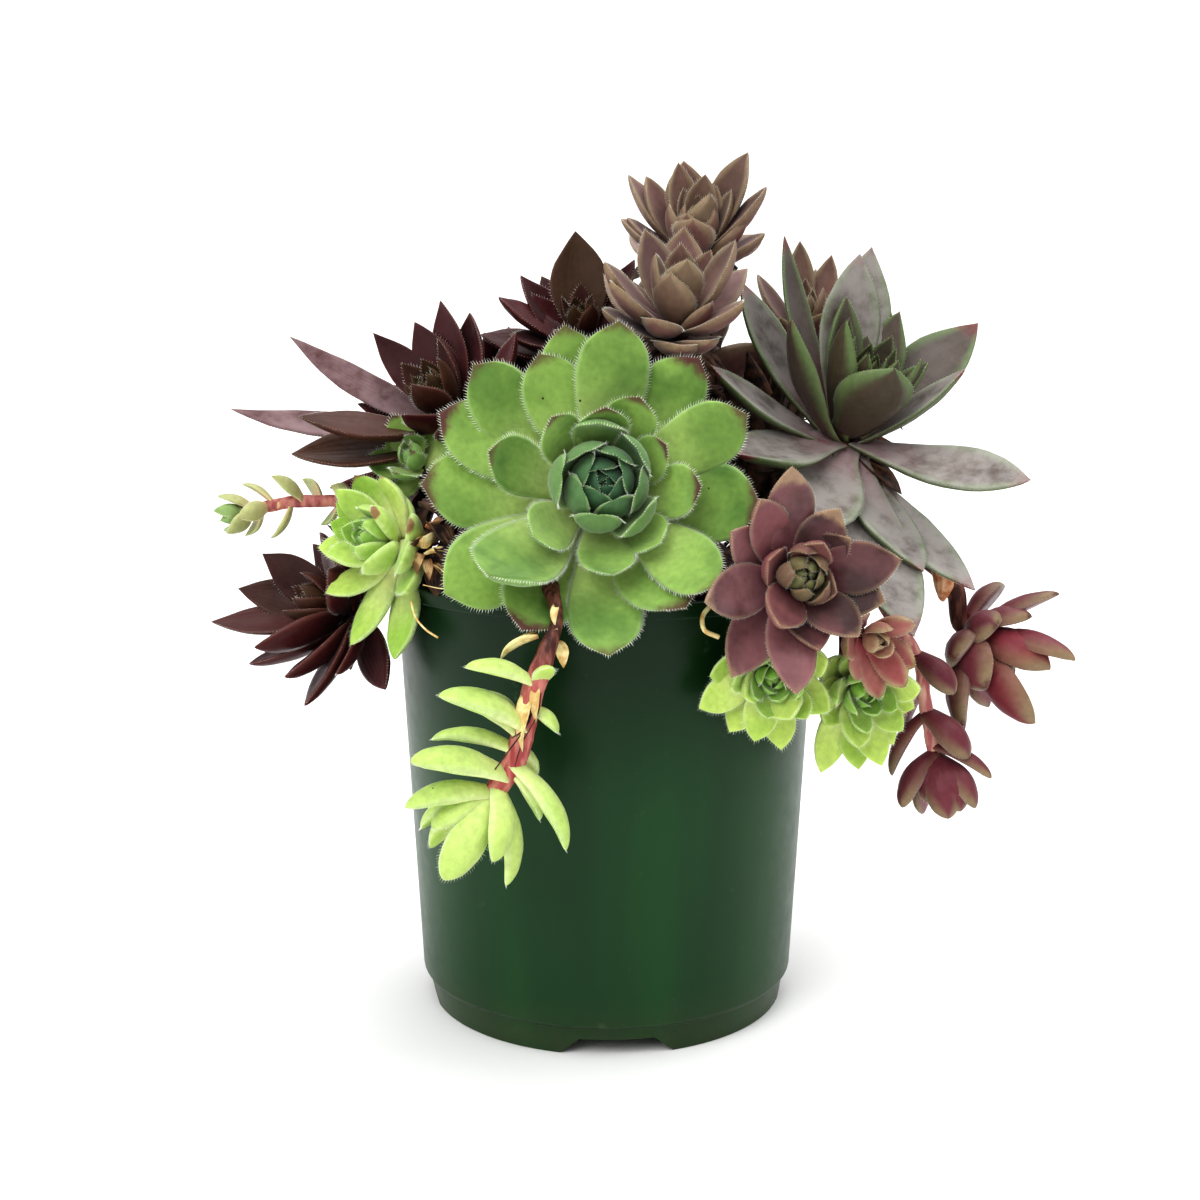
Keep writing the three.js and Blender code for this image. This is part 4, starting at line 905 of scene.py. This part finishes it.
def grow_leaves(name, rows, outline, skin, seed, stands_for, sides=14, stations=16):
    """The leaves and, as a piece of its own, the hairs of their rims."""
    habit = HABITS[skin]
    slot = SHARED_SLOTS.get(skin, skin)
    shared = {"Stations": stations, "Unevenness": 0.22 * MM, "Seed": seed}
    leaves = plain_mesh(name + "_leaves", plan_mesh(name, rows), LEAVES[outline], {
        "Sides": sides, "Skin": SKINS[skin], **shared})
    hand_in(leaves, slot, stands_for)
    cilia = plain_mesh(name + "_cilia", plan_mesh(name, rows), CILIA_TREES[outline], {
        "Skin": CILIA, "Spacing": habit["spacing"] * MM, "Hair Length": habit["hair"] * MM,
        "Hair Radius": habit["hair_radius"] * MM, **shared})
    hand_in(cilia, slot)


def grow_dry_leaves(name, rows, outline, skin, seed, sides, stations, stands_for=()):
    leaves = plain_mesh(name, plan_mesh(name, rows), LEAVES[outline], {
        "Sides": sides, "Stations": stations, "Unevenness": 0.5 * MM, "Seed": seed, "Skin": skin})
    hand_in(leaves, "dry_leaf", stands_for)


# ---- Stems -----------------------------------------------------------------------------------

def flowing(points, steps=10):
    """Close points along the smooth route through these points."""
    given = [Vector(p) for p in points]
    ends = [given[0] * 2 - given[1]] + given + [given[-1] * 2 - given[-2]]
    route = []
    for a, b, c, d in zip(ends, ends[1:], ends[2:], ends[3:]):
        t0, t1, t2 = ((q - p).length ** 0.5 for p, q in ((a, b), (b, c), (c, d)))
        leave = ((b - a) / t0 - (c - a) / (t0 + t1) + (c - b) / t1) * t1
        reach = ((c - b) / t1 - (d - b) / (t1 + t2) + (d - c) / t2) * t1
        for i in range(steps):
            t = i / steps
            route.append(
                b * (2 * t ** 3 - 3 * t ** 2 + 1) + leave * (t ** 3 - 2 * t ** 2 + t)
                + c * (3 * t ** 2 - 2 * t ** 3) + reach * (t ** 3 - t ** 2))
    return route + [given[-1]]


def steps_of(route):
    return [(q - p).length for p, q in zip(route, route[1:])]


def at_share(route, share):
    """Point and direction at this share of a route's length."""
    steps = steps_of(route)
    left = share * sum(steps)
    for p, q, step in zip(route, route[1:], steps):
        if left <= step:
            break
        left -= step
    return p.lerp(q, min(left / step, 1)), (q - p).normalized()


def route_mesh(name, routes):
    """Chains of edges with the radius of the shoot at each point. A route is (points, radii)."""
    mesh = bpy.data.meshes.new(name + "_route")
    spots, edges, girths = [], [], []
    for points, radii in routes:
        edges += [(len(spots) + i, len(spots) + i + 1) for i in range(len(points) - 1)]
        spots += [placed(p) for p in points]
        girths += [r * MM for r in radii]
    mesh.from_pydata(spots, edges, [])
    layer = mesh.attributes.new("girth", "FLOAT", "POINT")
    layer.data.foreach_set("value", girths)
    return mesh


def shoot_tree():
    """A round shoot along each chain of edges, a little uneven, closed at both ends."""
    tree = Growth("round_shoot", ["Sides", "Step", "Unevenness", "Seed", "Skin"])
    ring = tree.add(
        "GeometryNodeCurvePrimitiveCircle", {"Resolution": tree.given["Sides"], "Radius": 1.0}, mode="RADIUS")
    shoot = tree.add("GeometryNodeCurveToMesh", {
        "Curve": tree.resampled(tree.given["Geometry"], tree.given["Step"]),
        "Profile Curve": live(ring.outputs, "Curve"), "Scale": tree.named("girth"), "Fill Caps": True})
    shoot = tree.shifted(shoot, tree.add("GeometryNodeInputPosition"), 3.5, 2.0)
    return tree.made(tree.add("GeometryNodeSetShadeSmooth", {"Geometry": shoot}))


SHOOT = shoot_tree()


def grow_stem(name, points, radius, seed, stands_for=(), unevenness=0.12, waist=0.0, skin=BARK):
    """One stem through these points, slightly thinner to its first end and at its waist, if any."""
    waist_at, waist_reach = 0.42, 0.14
    route = flowing(points)
    radii = []
    for i in range(len(route)):
        share = i / len(route)
        narrowing = 1 - waist * math.exp(-((share - waist_at) / waist_reach) ** 2)
        radii.append(radius * (0.86 + 0.14 * min(1, 4 * share)) * narrowing)
    stem = plain_mesh(name, route_mesh(name, [(route, radii)]), SHOOT, {
        "Sides": 14, "Step": 0.9 * MM, "Unevenness": unevenness * MM, "Seed": seed, "Skin": skin})
    hand_in(stem, "stolon_skin", stands_for)


def crown_of(rosette):
    """The top of a rosette's stem, inside its lower leaves, and the foot of its crown."""
    heart, axis = Vector(rosette["heart"]), facing(*rosette["face"])[0]
    return heart - axis * rosette["drop"] * 0.8, heart - axis * (rosette["drop"] * 1.25 + rosette["crown"])


# ---- Old leaves ------------------------------------------------------------------------------

# The length that old leaves are measured by is no more than LONGEST_OLD_LEAF. Stems carry a dead leaf
# at every STEM_LEAF_STEP. Litter lies within LITTER_REACH of the axis, flat outside LITTER_EDGE.
LONGEST_OLD_LEAF = 24
STEM_LEAF_STEP = 1.6
LITTER_LEAVES, LITTER_REACH, LITTER_HEIGHT, LITTER_EDGE = 90, 45, SOIL_EDGE_HEIGHT + 2.5, 36


def grow_skirt(name, rosette, seed):
    """Old leaves, dead and brown, folded back round the crown below the living ones; their near-black colour
    is partly painted shade in the gaps below the rosettes.
    """
    dice = random.Random(seed)
    full = sorted(length for _, _, length, *_ in rosette["leaves"])
    middle = min(full[len(full) // 2], LONGEST_OLD_LEAF)
    rows = [
        plan_leaf(
            Vector(rosette["heart"]), facing(*rosette["face"]), i * GOLDEN_ANGLE, dice.uniform(96, 130),
            middle * dice.uniform(0.45, 0.75), middle * dice.uniform(0.24, 0.34),
            back=rosette["drop"] * dice.uniform(1.15, 1.6), inset=rosette["crown"] * 0.5,
            curl=dice.uniform(-30, 40), thick=0.7, cup=dice.uniform(0.3, 0.6),
            sway=dice.uniform(-0.12, 0.12), twist=dice.uniform(-0.5, 0.5))
        for i in range(rosette["skirt"])]
    rows = [row for row in rows if not meets_wall(row)]
    grow_dry_leaves(name + "_skirt", rows, "lance", DEAD_BROWN_AND_SHADE, seed, 8, 9)


def stem_leaves(dice):
    """Dead leaves that stay close along the bare stems of the rosettes that have a skirt."""
    for rosette in ROSETTES.values():
        if "skirt" not in rosette:
            continue
        route = flowing([crown_of(rosette)[1], *rosette["stem"]])
        length = sum(steps_of(route))
        for i in range(round(length / STEM_LEAF_STEP)):
            spot, way = at_share(route, min(1, i * STEM_LEAF_STEP / length))
            side = way.orthogonal().normalized()
            yield plan_leaf(
                spot, (-way, side, side.cross(-way)), i * GOLDEN_ANGLE, dice.uniform(60, 150),
                dice.uniform(8, 15), dice.uniform(4, 7), inset=rosette["stem_radius"] * 0.7,
                curl=dice.uniform(-40, 60), thick=0.6, cup=dice.uniform(0.3, 0.6),
                sway=dice.uniform(-0.15, 0.15), twist=dice.uniform(-0.6, 0.6))


def litter_leaves(dice):
    """Dead leaves lying and leaning on the soil between the stems, flatter near the pot's wall."""
    for i in range(LITTER_LEAVES):
        far = LITTER_REACH * math.sqrt(dice.random())
        turn = math.radians(i * GOLDEN_ANGLE)
        spot = Vector((far * math.cos(turn), far * math.sin(turn), LITTER_HEIGHT))
        length = dice.uniform(13, 22)
        lean = dice.uniform(25, 80) if far < LITTER_EDGE else dice.uniform(0, 30)
        yield plan_leaf(
            spot, facing(0, 90), dice.uniform(0, 360), lean, length, dice.uniform(5, 9),
            curl=dice.uniform(-40, 50), thick=0.7, cup=dice.uniform(0.2, 0.6),
            sway=dice.uniform(-0.15, 0.15), twist=dice.uniform(-0.6, 0.6))


# ---- Rosettes with their stems ---------------------------------------------------------------

for seed, (name, rosette) in enumerate(ROSETTES.items()):
    grown, young = rosette_plan(rosette, random.Random(seed))
    if "heart_outline" not in rosette:
        grown += young
    grow_leaves(name, grown, rosette["outline"], rosette["skin"], seed, [name])
    if "heart_outline" in rosette:
        grow_leaves(name + "_heart", young, rosette["heart_outline"], rosette["skin"], seed, [name])
    points = [*crown_of(rosette), *rosette["stem"]]
    grow_stem(name + "_shoot", points, rosette["stem_radius"], seed, [name + "_stem"])
    if "skirt" in rosette:
        grow_skirt(name, rosette, seed)

for name, leaves, seed, sides, stations in (
        ("old_stem_leaves", stem_leaves, 310, 6, 7), ("leaf_litter", litter_leaves, 300, 8, 9)):
    rows = [row for row in leaves(random.Random(seed)) if not meets_wall(row)]
    grow_dry_leaves(name, rows, "lance", DEAD_BROWN_AND_SHADE, seed, sides, stations)


# ---- Leafy shoots ----------------------------------------------------------------------------

# Young leaves that close the end of a shoot.
YOUNG_SHOOT_LEAVES = 9

# Each leaf has its place along the shoot, its clock round it, its opening, length and width. flat is
# the thickness of the leaves as a share of their width, waist how much the runner narrows.
SHOOTS = {
    "hanging_green_chick": dict(
        skin="lime_leaf", radius=2.4, waist=0.45, runner=RUNNER,
        route=[
            (-12.5, -38, 90), (-12.5, -42, 100), (-12.5, -47, 107), (-11.5, -53, 106.5),
            (-10.5, -58.5, 102), (-12.5, -61.5, 96), (-15, -62, 89), (-17, -62, 81), (-19, -61.5, 73.5),
            (-24.5, -61.5, 65)],
        leaves=[
            (0.64, 111, 96, 16, 5), (0.65, 220, 150, 7, 4), (0.71, 262, 68, 8, 4), (0.77, 112, 108, 20, 7),
            (0.79, 64, 112, 15, 7), (0.84, 351, 79, 20, 5), (0.84, 253, 56, 12, 5), (0.88, 166, 68, 21, 6),
            (0.90, 191, 65, 13, 5), (0.92, 24, 76, 21, 7), (0.96, 133, 50, 16, 6), (0.96, 173, 45, 21, 6),
            (0.98, 22, 58, 19, 6), (0.99, 337, 34, 18, 6), (0.99, 33, 39, 14, 6), (0.99, 336, 20, 18, 6),
            (0.99, 94, 30, 20, 7)]),
    "left_sprout": dict(
        skin="sprout_leaf", outline="spear", flat=0.38, radius=1.4, runner=YOUNG_RUNNER,
        route=[
            (-36, -6, 90), (-40, -8, 104), (-46, -11, 114), (-56, -14, 121), (-66, -15, 122),
            (-74, -15, 121.5), (-84, -15, 119)],
        leaves=[
            (0.62, 60, 60, 9, 4), (0.66, 200, 60, 8, 4), (0.72, 300, 62, 10, 4), (0.78, 30, 56, 10, 4),
            (0.82, 180, 56, 10, 4), (0.88, 330, 50, 10, 4), (0.90, 90, 50, 9, 4), (0.92, 210, 46, 9, 4),
            (0.95, 0, 40, 9, 5), (0.96, 140, 36, 8, 5)]),
    "right_trailing_chick": dict(
        skin="wine_leaf", radius=1.5, runner=PALE_RUNNER,
        route=[
            (39, -11, 90), (41, -12, 102), (47, -15, 109), (54, -18, 109), (60, -22, 103), (65, -24, 95.5),
            (70.5, -25, 87), (72, -25, 79), (73.5, -25, 71), (75.5, -26, 61)],
        leaves=[
            (0.68, 313, 34, 12, 6), (0.77, 53, 35, 11, 5), (0.84, 218, 47, 14, 7), (0.84, 84, 41, 17, 5),
            (0.93, 241, 58, 15, 4), (0.95, 115, 53, 15, 6), (0.96, 55, 27, 14, 6), (0.96, 173, 34, 15, 7),
            (0.96, 201, 34, 14, 7), (0.96, 226, 41, 15, 6), (0.96, 144, 37, 11, 6)]),
}

for seed, (name, shoot) in enumerate(SHOOTS.items(), 100):
    dice = random.Random(seed)
    route = flowing(shoot["route"], 24)
    rows = []
    for share, clock, opening, length, width in shoot["leaves"]:
        spot, axis = at_share(route, share)
        up = Vector((0, 0, 1)) - axis * axis.z
        if up.length_squared < 0.1:
            up = Vector((0, 1, 0)) - axis * axis.y
        up.normalize()
        rows.append(plan_leaf(
            spot, (axis, up, up.cross(axis)), clock, opening, length, width * 1.15,
            thick=width * shoot.get("flat", 0.62), cup=0.08, hook=0.08, sway=dice.uniform(-0.06, 0.06),
            twist=dice.uniform(-0.2, 0.2), tone=dice.uniform(-1, 1), age=0.9, blush=dice.uniform(0, 0.5)))
    spot, axis = at_share(route, 1)
    up = (Vector((0, 1, 0)) - axis * axis.y).normalized()
    for i in range(YOUNG_SHOOT_LEAVES):
        rows.append(plan_leaf(
            spot - axis * 1.5, (axis, up, up.cross(axis)), i * GOLDEN_ANGLE, 34 - 3.5 * i, 8 - 0.35 * i,
            4.2 - 0.2 * i, thick=1.8, cup=0.2, hook=0.1, tone=dice.uniform(-1, 1), age=0.3, blush=0.2))
    grow_leaves(name, rows, shoot.get("outline", "finger"), shoot["skin"], seed, [name])
    grow_stem(
        name + "_runner", shoot["route"], shoot["radius"], seed, unevenness=0.25,
        waist=shoot.get("waist", 0.0), skin=shoot["runner"])


# ---- Dry leaves, scales and scraps -----------------------------------------------------------

# Where it springs from, its direction as azimuth and elevation, its length, width and thickness.
DRY_LEAVES = {
    "dry_leaf_left": (WITHERED, ((-39.9, -16, 111.8), (-70, 20), 8, 5.5, 0.5)),
    "dry_leaf_front": (PALE_SCALE, ((-14.5, -60, 98.8), (-80, -32), 9, 5, 0.5)),
    "dry_leaf_right": (SALMON_SCALE, ((75.4, -16, 106.3), (120, -71), 8.5, 6.5, 2.6)),
    "dry_leaf_rear": (WITHERED, ((2, 36, 98.2), (180, -25), 12, 6, 0.5)),
}
SCRAPS = {
    "pale_scales": (PALE_SCALE, [
        ((-40, -33, 114.8), (0, 12), 4.5, 5, 2.6), ((-39.8, -37, 112.6), (85, 4), 6, 2.8, 0.5),
        ((-11.3, -58.5, 97), (55, -60), 5.5, 3.6, 0.4), ((-16.2, -63.4, 87), (-30, -78), 11, 3.4, 0.4),
        ((-14.6, -63.8, 89), (-10, -80), 7, 2, 0.3), ((-10.2, -60.4, 105), (-30, -72), 4, 2, 0.5)]),
    "salmon_scales": (SALMON_SCALE, [((-39, -33, 117.6), (60, 35), 5, 3.2, 1.0)]),
    # The first six are dark scraps by the left dry leaves; the seven large ones after them, standing between
    # and behind the mauve front rosette and the grey hen, are painted shade: dark leaves put where the plant
    # lies in deep shadow.
    "dark_scraps_and_painted_shade": (DEAD_BROWN_AND_SHADE, [
        ((-39, -34, 119), (60, -40), 8, 5, 1.2), ((-36, -36, 117), (80, -60), 7, 4, 1.0),
        ((-41, -35, 116), (-60, -50), 8, 4, 0.8), ((-38, -34, 112), (30, -80), 9, 6, 0.8),
        ((-41, -33, 123), (80, -30), 9, 6, 0.8), ((-36.5, -37, 114), (40, -40), 7, 4, 0.8),
        ((36, 8, 116), (-40, 84), 40, 12, 2), ((41, 6, 112), (30, 82), 42, 13, 2),
        ((38, 13, 112), (120, 86), 46, 13, 2), ((40, 10, 122), (0, 88), 38, 14, 2),
        ((46, 9, 116), (60, 84), 38, 13, 2), ((33, 6, 122), (-70, 76), 32, 12, 2),
        ((44, 10, 112), (70, 80), 34, 11, 2)]),
    "brown_scraps": (WITHERED, [
        ((-40.5, -36, 112.8), (-20, -60), 5, 2.6, 0.5), ((-39.6, -36.5, 111.6), (20, -60), 5, 2.2, 0.5),
        ((-38.6, -36, 110.5), (60, -40), 5, 2, 0.4)]),
}


def grow_scales(name, skin, scales, seed, stands_for=()):
    rows = [
        plan_leaf(
            Vector(spot), facing(azimuth, elevation + 90), 180, 90, length, width, curl=-40, thick=thick,
            cup=0.5, twist=0.5)
        for spot, (azimuth, elevation), length, width, thick in scales]
    grow_dry_leaves(name, rows, "scale", skin, seed, 16, 18, stands_for)


for seed, (name, (skin, scale)) in enumerate(DRY_LEAVES.items(), 200):
    grow_scales(name + "_paper", skin, [scale], seed, [name])
for seed, (name, (skin, scales)) in enumerate(SCRAPS.items(), 210):
    grow_scales(name, skin, scales, seed)


# ---- Roots in the air ------------------------------------------------------------------------

# Thin roots and threads that the runners let down: material, points, radius.
THREADS = {
    "pale_roots": (PALE_SCALE, [
        ([(-42.4, -40, 102.8), (-41, -44, 100), (-38.5, -47, 97.9), (-35.9, -48, 96.4)], 0.25),
        ([(-39.9, -36, 111.1), (-37.1, -38, 110.3), (-33.9, -40, 108.2)], 0.12),
        ([(-40, -38, 106.2), (-36.9, -39, 105.7), (-34.6, -40, 105.6)], 0.12),
        ([(21.6, -49, 103.5), (19.9, -51, 101.5), (20.2, -52.5, 98.9), (23.3, -52, 97.3)], 0.55)]),
    "dark_roots": (DEAD_BROWN_AND_SHADE, [
        ([(-14.4, -64.4, 87), (-16.2, -65, 82), (-20.4, -65.4, 76), (-24, -65, 71)], 0.16),
        ([(-13.6, -64, 88), (-14.2, -64.8, 84), (-17.4, -65.2, 78), (-19, -65, 73)], 0.14),
        ([(-15.4, -64.4, 84), (-17.8, -65.2, 80), (-19.6, -65.4, 79)], 0.2)]),
}

for seed, (name, (skin, threads)) in enumerate(THREADS.items(), 220):
    routes = [(flowing(points), radius) for points, radius in threads]
    routes = [(route, [radius] * len(route)) for route, radius in routes]
    piece = plain_mesh(name, route_mesh(name, routes), SHOOT, {
        "Sides": 5, "Step": 0.7 * MM, "Unevenness": 0.06 * MM, "Seed": seed, "Skin": skin})
    hand_in(piece, "dry_leaf")


# ---- Pot -------------------------------------------------------------------------------------

def rounded(profile, arc_steps=4):
    """A profile of (radius, height, corner radius) with its corners rounded."""
    points = [Vector((r, z)) for r, z, _ in profile]
    smooth = []
    for i, (point, row) in enumerate(zip(points, profile)):
        if not row[2] or i in (0, len(points) - 1):
            smooth.append(point)
            continue
        before, after = points[i - 1] - point, points[i + 1] - point
        cut = min(row[2], before.length * 0.45, after.length * 0.45)
        first, last = point + before.normalized() * cut, point + after.normalized() * cut
        for k in range(arc_steps + 1):
            t = k / arc_steps
            smooth.append(first * (1 - t) ** 2 + point * 2 * t * (1 - t) + last * t ** 2)
    return smooth


def closed_object(name, shell):
    """A new object of a closed bmesh shell, its faces looking outwards."""
    bmesh.ops.recalc_face_normals(shell, faces=shell.faces)
    mesh = bpy.data.meshes.new(name)
    shell.to_mesh(mesh)
    shell.free()
    return new_object(name, mesh)


def circle(radius, sides, centre=(0, 0)):
    """Points round a circle."""
    turns = [2 * math.pi * k / sides for k in range(sides)]
    return [(centre[0] + radius * math.cos(t), centre[1] + radius * math.sin(t)) for t in turns]


def lathe(name, profile, sides):
    """Closed turned shell from a profile that starts and ends on the axis."""
    shell = bmesh.new()
    rings = []
    for radius, height in profile:
        ring = circle(radius, sides) if radius > 1e-6 else [(0, 0)]
        rings.append([shell.verts.new(placed((x, y, height))) for x, y in ring])
    for low, high in zip(rings, rings[1:]):
        for k in range(sides):
            corners = [
                low[k % len(low)], low[(k + 1) % len(low)],
                high[(k + 1) % len(high)], high[k % len(high)]]
            corners = [v for i, v in enumerate(corners) if v not in corners[:i]]
            if len(corners) > 2:
                shell.faces.new(corners)
    piece = closed_object(name, shell)
    piece.data.shade_smooth()
    return piece


def block(name, near, far):
    """A closed block between two rings of points."""
    shell = bmesh.new()
    near, far = ([shell.verts.new(placed(point)) for point in ring] for ring in (near, far))
    shell.faces.new(near)
    shell.faces.new(far[::-1])
    for k in range(len(near)):
        n = (k + 1) % len(near)
        shell.faces.new([near[n], near[k], far[k], far[n]])
    return closed_object(name, shell)


def cut(piece, cutters):
    """Takes the cutters away from the piece and throws them out."""
    for cutter in cutters:
        modifier = piece.modifiers.new("cut", "BOOLEAN")
        modifier.operation = "DIFFERENCE"
        modifier.solver = "EXACT"
        modifier.object = cutter
    graph = bpy.context.evaluated_depsgraph_get()
    mesh = bpy.data.meshes.new_from_object(piece.evaluated_get(graph), depsgraph=graph)
    piece.modifiers.clear()
    piece.data = mesh
    for cutter in cutters:
        bpy.data.objects.remove(cutter)


def pot_material():
    """Green polypropylene, injection moulded: satin, with faint flow streaks, scuffs and a little peat
    dust; the upper wall is painted darker, as painted shade of the leaves that hang over it."""
    pot = Finish("moulded_polypropylene")
    height = pot.split(pot.place)["Z"]
    flow = pot.noise(22, detail=3.0, place=pot.lengthwise(0.12))
    scuffs = pot.noise(5, detail=8.0, roughness=0.7)
    colour = pot.mix(pot.between(flow, 0.3, 0.7), "123518", "163F1C")
    # Painted shade: the wall darkens towards the rim, standing for the shadow of the leaves over it.
    colour = pot.mix(pot.between(height, 52 * MM, 92 * MM), colour, "0A2810")
    colour = pot.mix(pot.product(pot.between(scuffs, 0.62, 0.8), 0.25), colour, "5E7A5F")
    low_down = pot.between(height, 16 * MM, 1 * MM)
    colour = pot.mix(pot.product(low_down, scuffs, 0.3), colour, "5A4A38")
    return pot.made(
        colour, pot.mapped(scuffs, 0.3, 0.75, 0.3, 0.42),
        Normal=pot.bump(pot.noise(0.9, detail=3.0), 0.08, 0.1), IOR=1.49, Specular_IOR_Level=0.2)


def make_pot():
    """The pot turned from its section, with the notches and drain holes cut out."""
    lip_bottom = RIM_HEIGHT - LIP_DEPTH
    slope = (RIM_RADIUS - STEP_RADIUS) / (RIM_HEIGHT - STEP_HEIGHT)
    under_lip = STEP_RADIUS + slope * (lip_bottom - STEP_HEIGHT) - LIP_PROUD
    floor_top = FLOOR_UNDERSIDE + FLOOR_THICKNESS
    pot = lathe("nursery_pot", rounded([
        (0, FLOOR_UNDERSIDE, 0),
        (FOOT_RADIUS - WALL, FLOOR_UNDERSIDE, 0.4),
        (FOOT_RADIUS - WALL, 0, 0.3),
        (FOOT_RADIUS, 0, 0.4),
        (FOOT_TOP_RADIUS, STEP_HEIGHT - 1, 0.5),
        (STEP_RADIUS, STEP_HEIGHT, 0.5),
        (under_lip, lip_bottom, 0.4),
        (RIM_RADIUS, lip_bottom, 0.5),
        (RIM_RADIUS, RIM_HEIGHT, 0.7),
        (RIM_RADIUS - LIP_PROUD - WALL, RIM_HEIGHT, 0.7),
        (FOOT_TOP_RADIUS - WALL, floor_top, 1.0),
        (0, floor_top, 0),
    ]), POT_SIDES)
    top, half_bottom, half_top = FLOOR_UNDERSIDE - 0.1, NOTCH_BOTTOM_WIDTH / 2, NOTCH_TOP_WIDTH / 2
    near, far = -FOOT_RADIUS - 10, -FOOT_RADIUS + 10
    notch = [(-half_bottom, -0.5), (half_bottom, -0.5), (half_top, top), (-half_top, top)]
    cutters = []
    for i in range(NOTCHES):
        turn = math.radians(NOTCH_TURN + i * 360 / NOTCHES)
        spin = Matrix.Rotation(turn, 3, "Z")
        cutters.append(block(
            "notch_cutter", *([spin @ Vector((x, y, z)) for x, z in notch] for y in (near, far))))
        centre = Matrix.Rotation(turn + math.pi / NOTCHES, 3, "Z") @ Vector((0, -DRAIN_CIRCLE, 0))
        hole = circle(DRAIN_RADIUS, DRAIN_SIDES, centre)
        low, high = FLOOR_UNDERSIDE - 2, FLOOR_UNDERSIDE + 4
        cutters.append(block("drain_cutter", *([(x, y, z) for x, y in hole] for z in (low, high))))
    cut(pot, cutters)
    pot.data.materials.clear()
    pot.data.materials.append(pot_material())
    pot.data.set_sharp_from_angle(angle=math.radians(40))
    hand_in(pot, "pot_plastic", ["pot"])


make_pot()


# ---- Soil ------------------------------------------------------------------------------------

def soil_material():
    """Peat-based potting mix: dark, matt, crumbly, with paler fibres."""
    soil = Finish("potting_mix")
    crumbs = soil.noise(2, detail=6.0, roughness=0.7)
    colour = soil.mix(soil.between(crumbs, 0.35, 0.65), "1E140E", "4A3524")
    fibres = soil.add(
        "ShaderNodeTexVoronoi", {"Vector": soil.place, "Scale": per_mm(4)}, feature="DISTANCE_TO_EDGE")
    colour = soil.mix(soil.between(fibres.outputs["Distance"], 0.03, 0.01), colour, "7A5C3C")
    return soil.made(colour, 0.92, Normal=soil.bump(crumbs, 0.9, 1.0))


def crumb_tree():
    """Crumbs of peat and bark scattered over the top of the soil."""
    tree = Growth("soil_crumbs", ["Crumb Size", "Density", "Seed", "Skin"])
    given = tree.given
    looks_up = tree.split(tree.add("GeometryNodeInputNormal"))["Z"]
    spots = tree.add(
        "GeometryNodeDistributePointsOnFaces",
        {"Mesh": given["Geometry"], "Selection": tree.maths("GREATER_THAN", looks_up, 0.3),
         "Density": given["Density"], "Seed": given["Seed"]}, distribute_method="RANDOM")
    crumb = tree.add("GeometryNodeMeshIcoSphere", {"Radius": given["Crumb Size"], "Subdivisions": 1})
    turn = tree.random((0.0, 0.0, 0.0), (6.28, 6.28, 6.28), "FLOAT_VECTOR")
    crumbs = tree.add("GeometryNodeInstanceOnPoints", {
        "Points": live(spots.outputs, "Points"), "Instance": live(crumb.outputs, "Mesh"),
        "Rotation": tree.add("FunctionNodeEulerToRotation", {"Euler": turn}),
        "Scale": tree.random((0.4, 0.4, 0.25), (1.1, 0.9, 0.6), "FLOAT_VECTOR")})
    crumbs = tree.add("GeometryNodeRealizeInstances", {"Geometry": crumbs})
    whole = tree.add("GeometryNodeJoinGeometry")
    for part in (given["Geometry"], crumbs):
        tree.fill(whole, {"Geometry": part})
    return tree.made(whole)


def make_soil():
    """A filling with a gap to the wall and a clearance over the floor, mounded in the middle."""
    gap, clearance = 0.6, 0.35
    bottom = FLOOR_UNDERSIDE + FLOOR_THICKNESS + clearance
    inner_foot, inner_rim = FOOT_TOP_RADIUS - WALL - gap, RIM_RADIUS - LIP_PROUD - WALL - gap
    at_edge = inner_foot + (inner_rim - inner_foot) * (SOIL_EDGE_HEIGHT - bottom) / (RIM_HEIGHT - bottom)
    mound = [(1, 0), (0.8, 2.8), (0.6, 4.2), (0.4, 5.1), (0.2, 5.6), (0, 5.7)]
    profile = [(0, bottom), (inner_foot, bottom)]
    profile += [(at_edge * share, SOIL_EDGE_HEIGHT + rise) for share, rise in mound]
    core = lathe("soil_core", profile, SOIL_SIDES)
    soil = plain_mesh("potting_mix", core.data, crumb_tree(), {"Seed": 3, "Skin": soil_material()})
    bpy.data.objects.remove(core)
    hand_in(soil, "potting_soil", ["soil"])


make_soil()


# ---- Floor and light -------------------------------------------------------------------------

def make_floor(reach):
    mesh = bpy.data.meshes.new("floor")
    corners = [(-reach, -reach, 0), (reach, -reach, 0), (reach, reach, 0), (-reach, reach, 0)]
    mesh.from_pydata(corners, [], [(0, 1, 2, 3)])
    mesh.materials.append(Finish("white_table").made("F2F2F2", 0.6))
    new_object("floor", mesh)


def soft_light(name, way_in, spread, strength):
    """Broad even light from this direction, out of a patch of the ceiling this many degrees wide."""
    lamp = bpy.data.lights.new(name, "SUN")
    lamp.angle = math.radians(spread)
    lamp.energy = strength
    new_object(name, lamp).rotation_euler = (-Vector(way_in)).to_track_quat("-Z", "Y").to_euler()


def light_room(seen, shed):
    """A white room, seen brighter than the light it sheds, so that shaded sides stay deep."""
    world = bpy.data.worlds.new("white_room")
    world.use_nodes = True
    room = Tree(world.node_tree)
    looked_at = room.add("ShaderNodeLightPath").outputs["Is Camera Ray"]
    strength = room.mapped(looked_at, 0, 1, shed, seen)
    room.fill(world.node_tree.nodes["Background"], {"Color": (1, 1, 1, 1), "Strength": strength})
    scene.world = world


make_floor(reach=6)
soft_light("key_light", (-0.45, -0.7, 0.8), 40, 1.7)
soft_light("top_light", (0.25, 0.1, 1.0), 70, 2.6)
light_room(seen=1.2, shed=0.5)
scene.view_settings.view_transform = "Standard"
scene.view_settings.look = "Medium High Contrast"
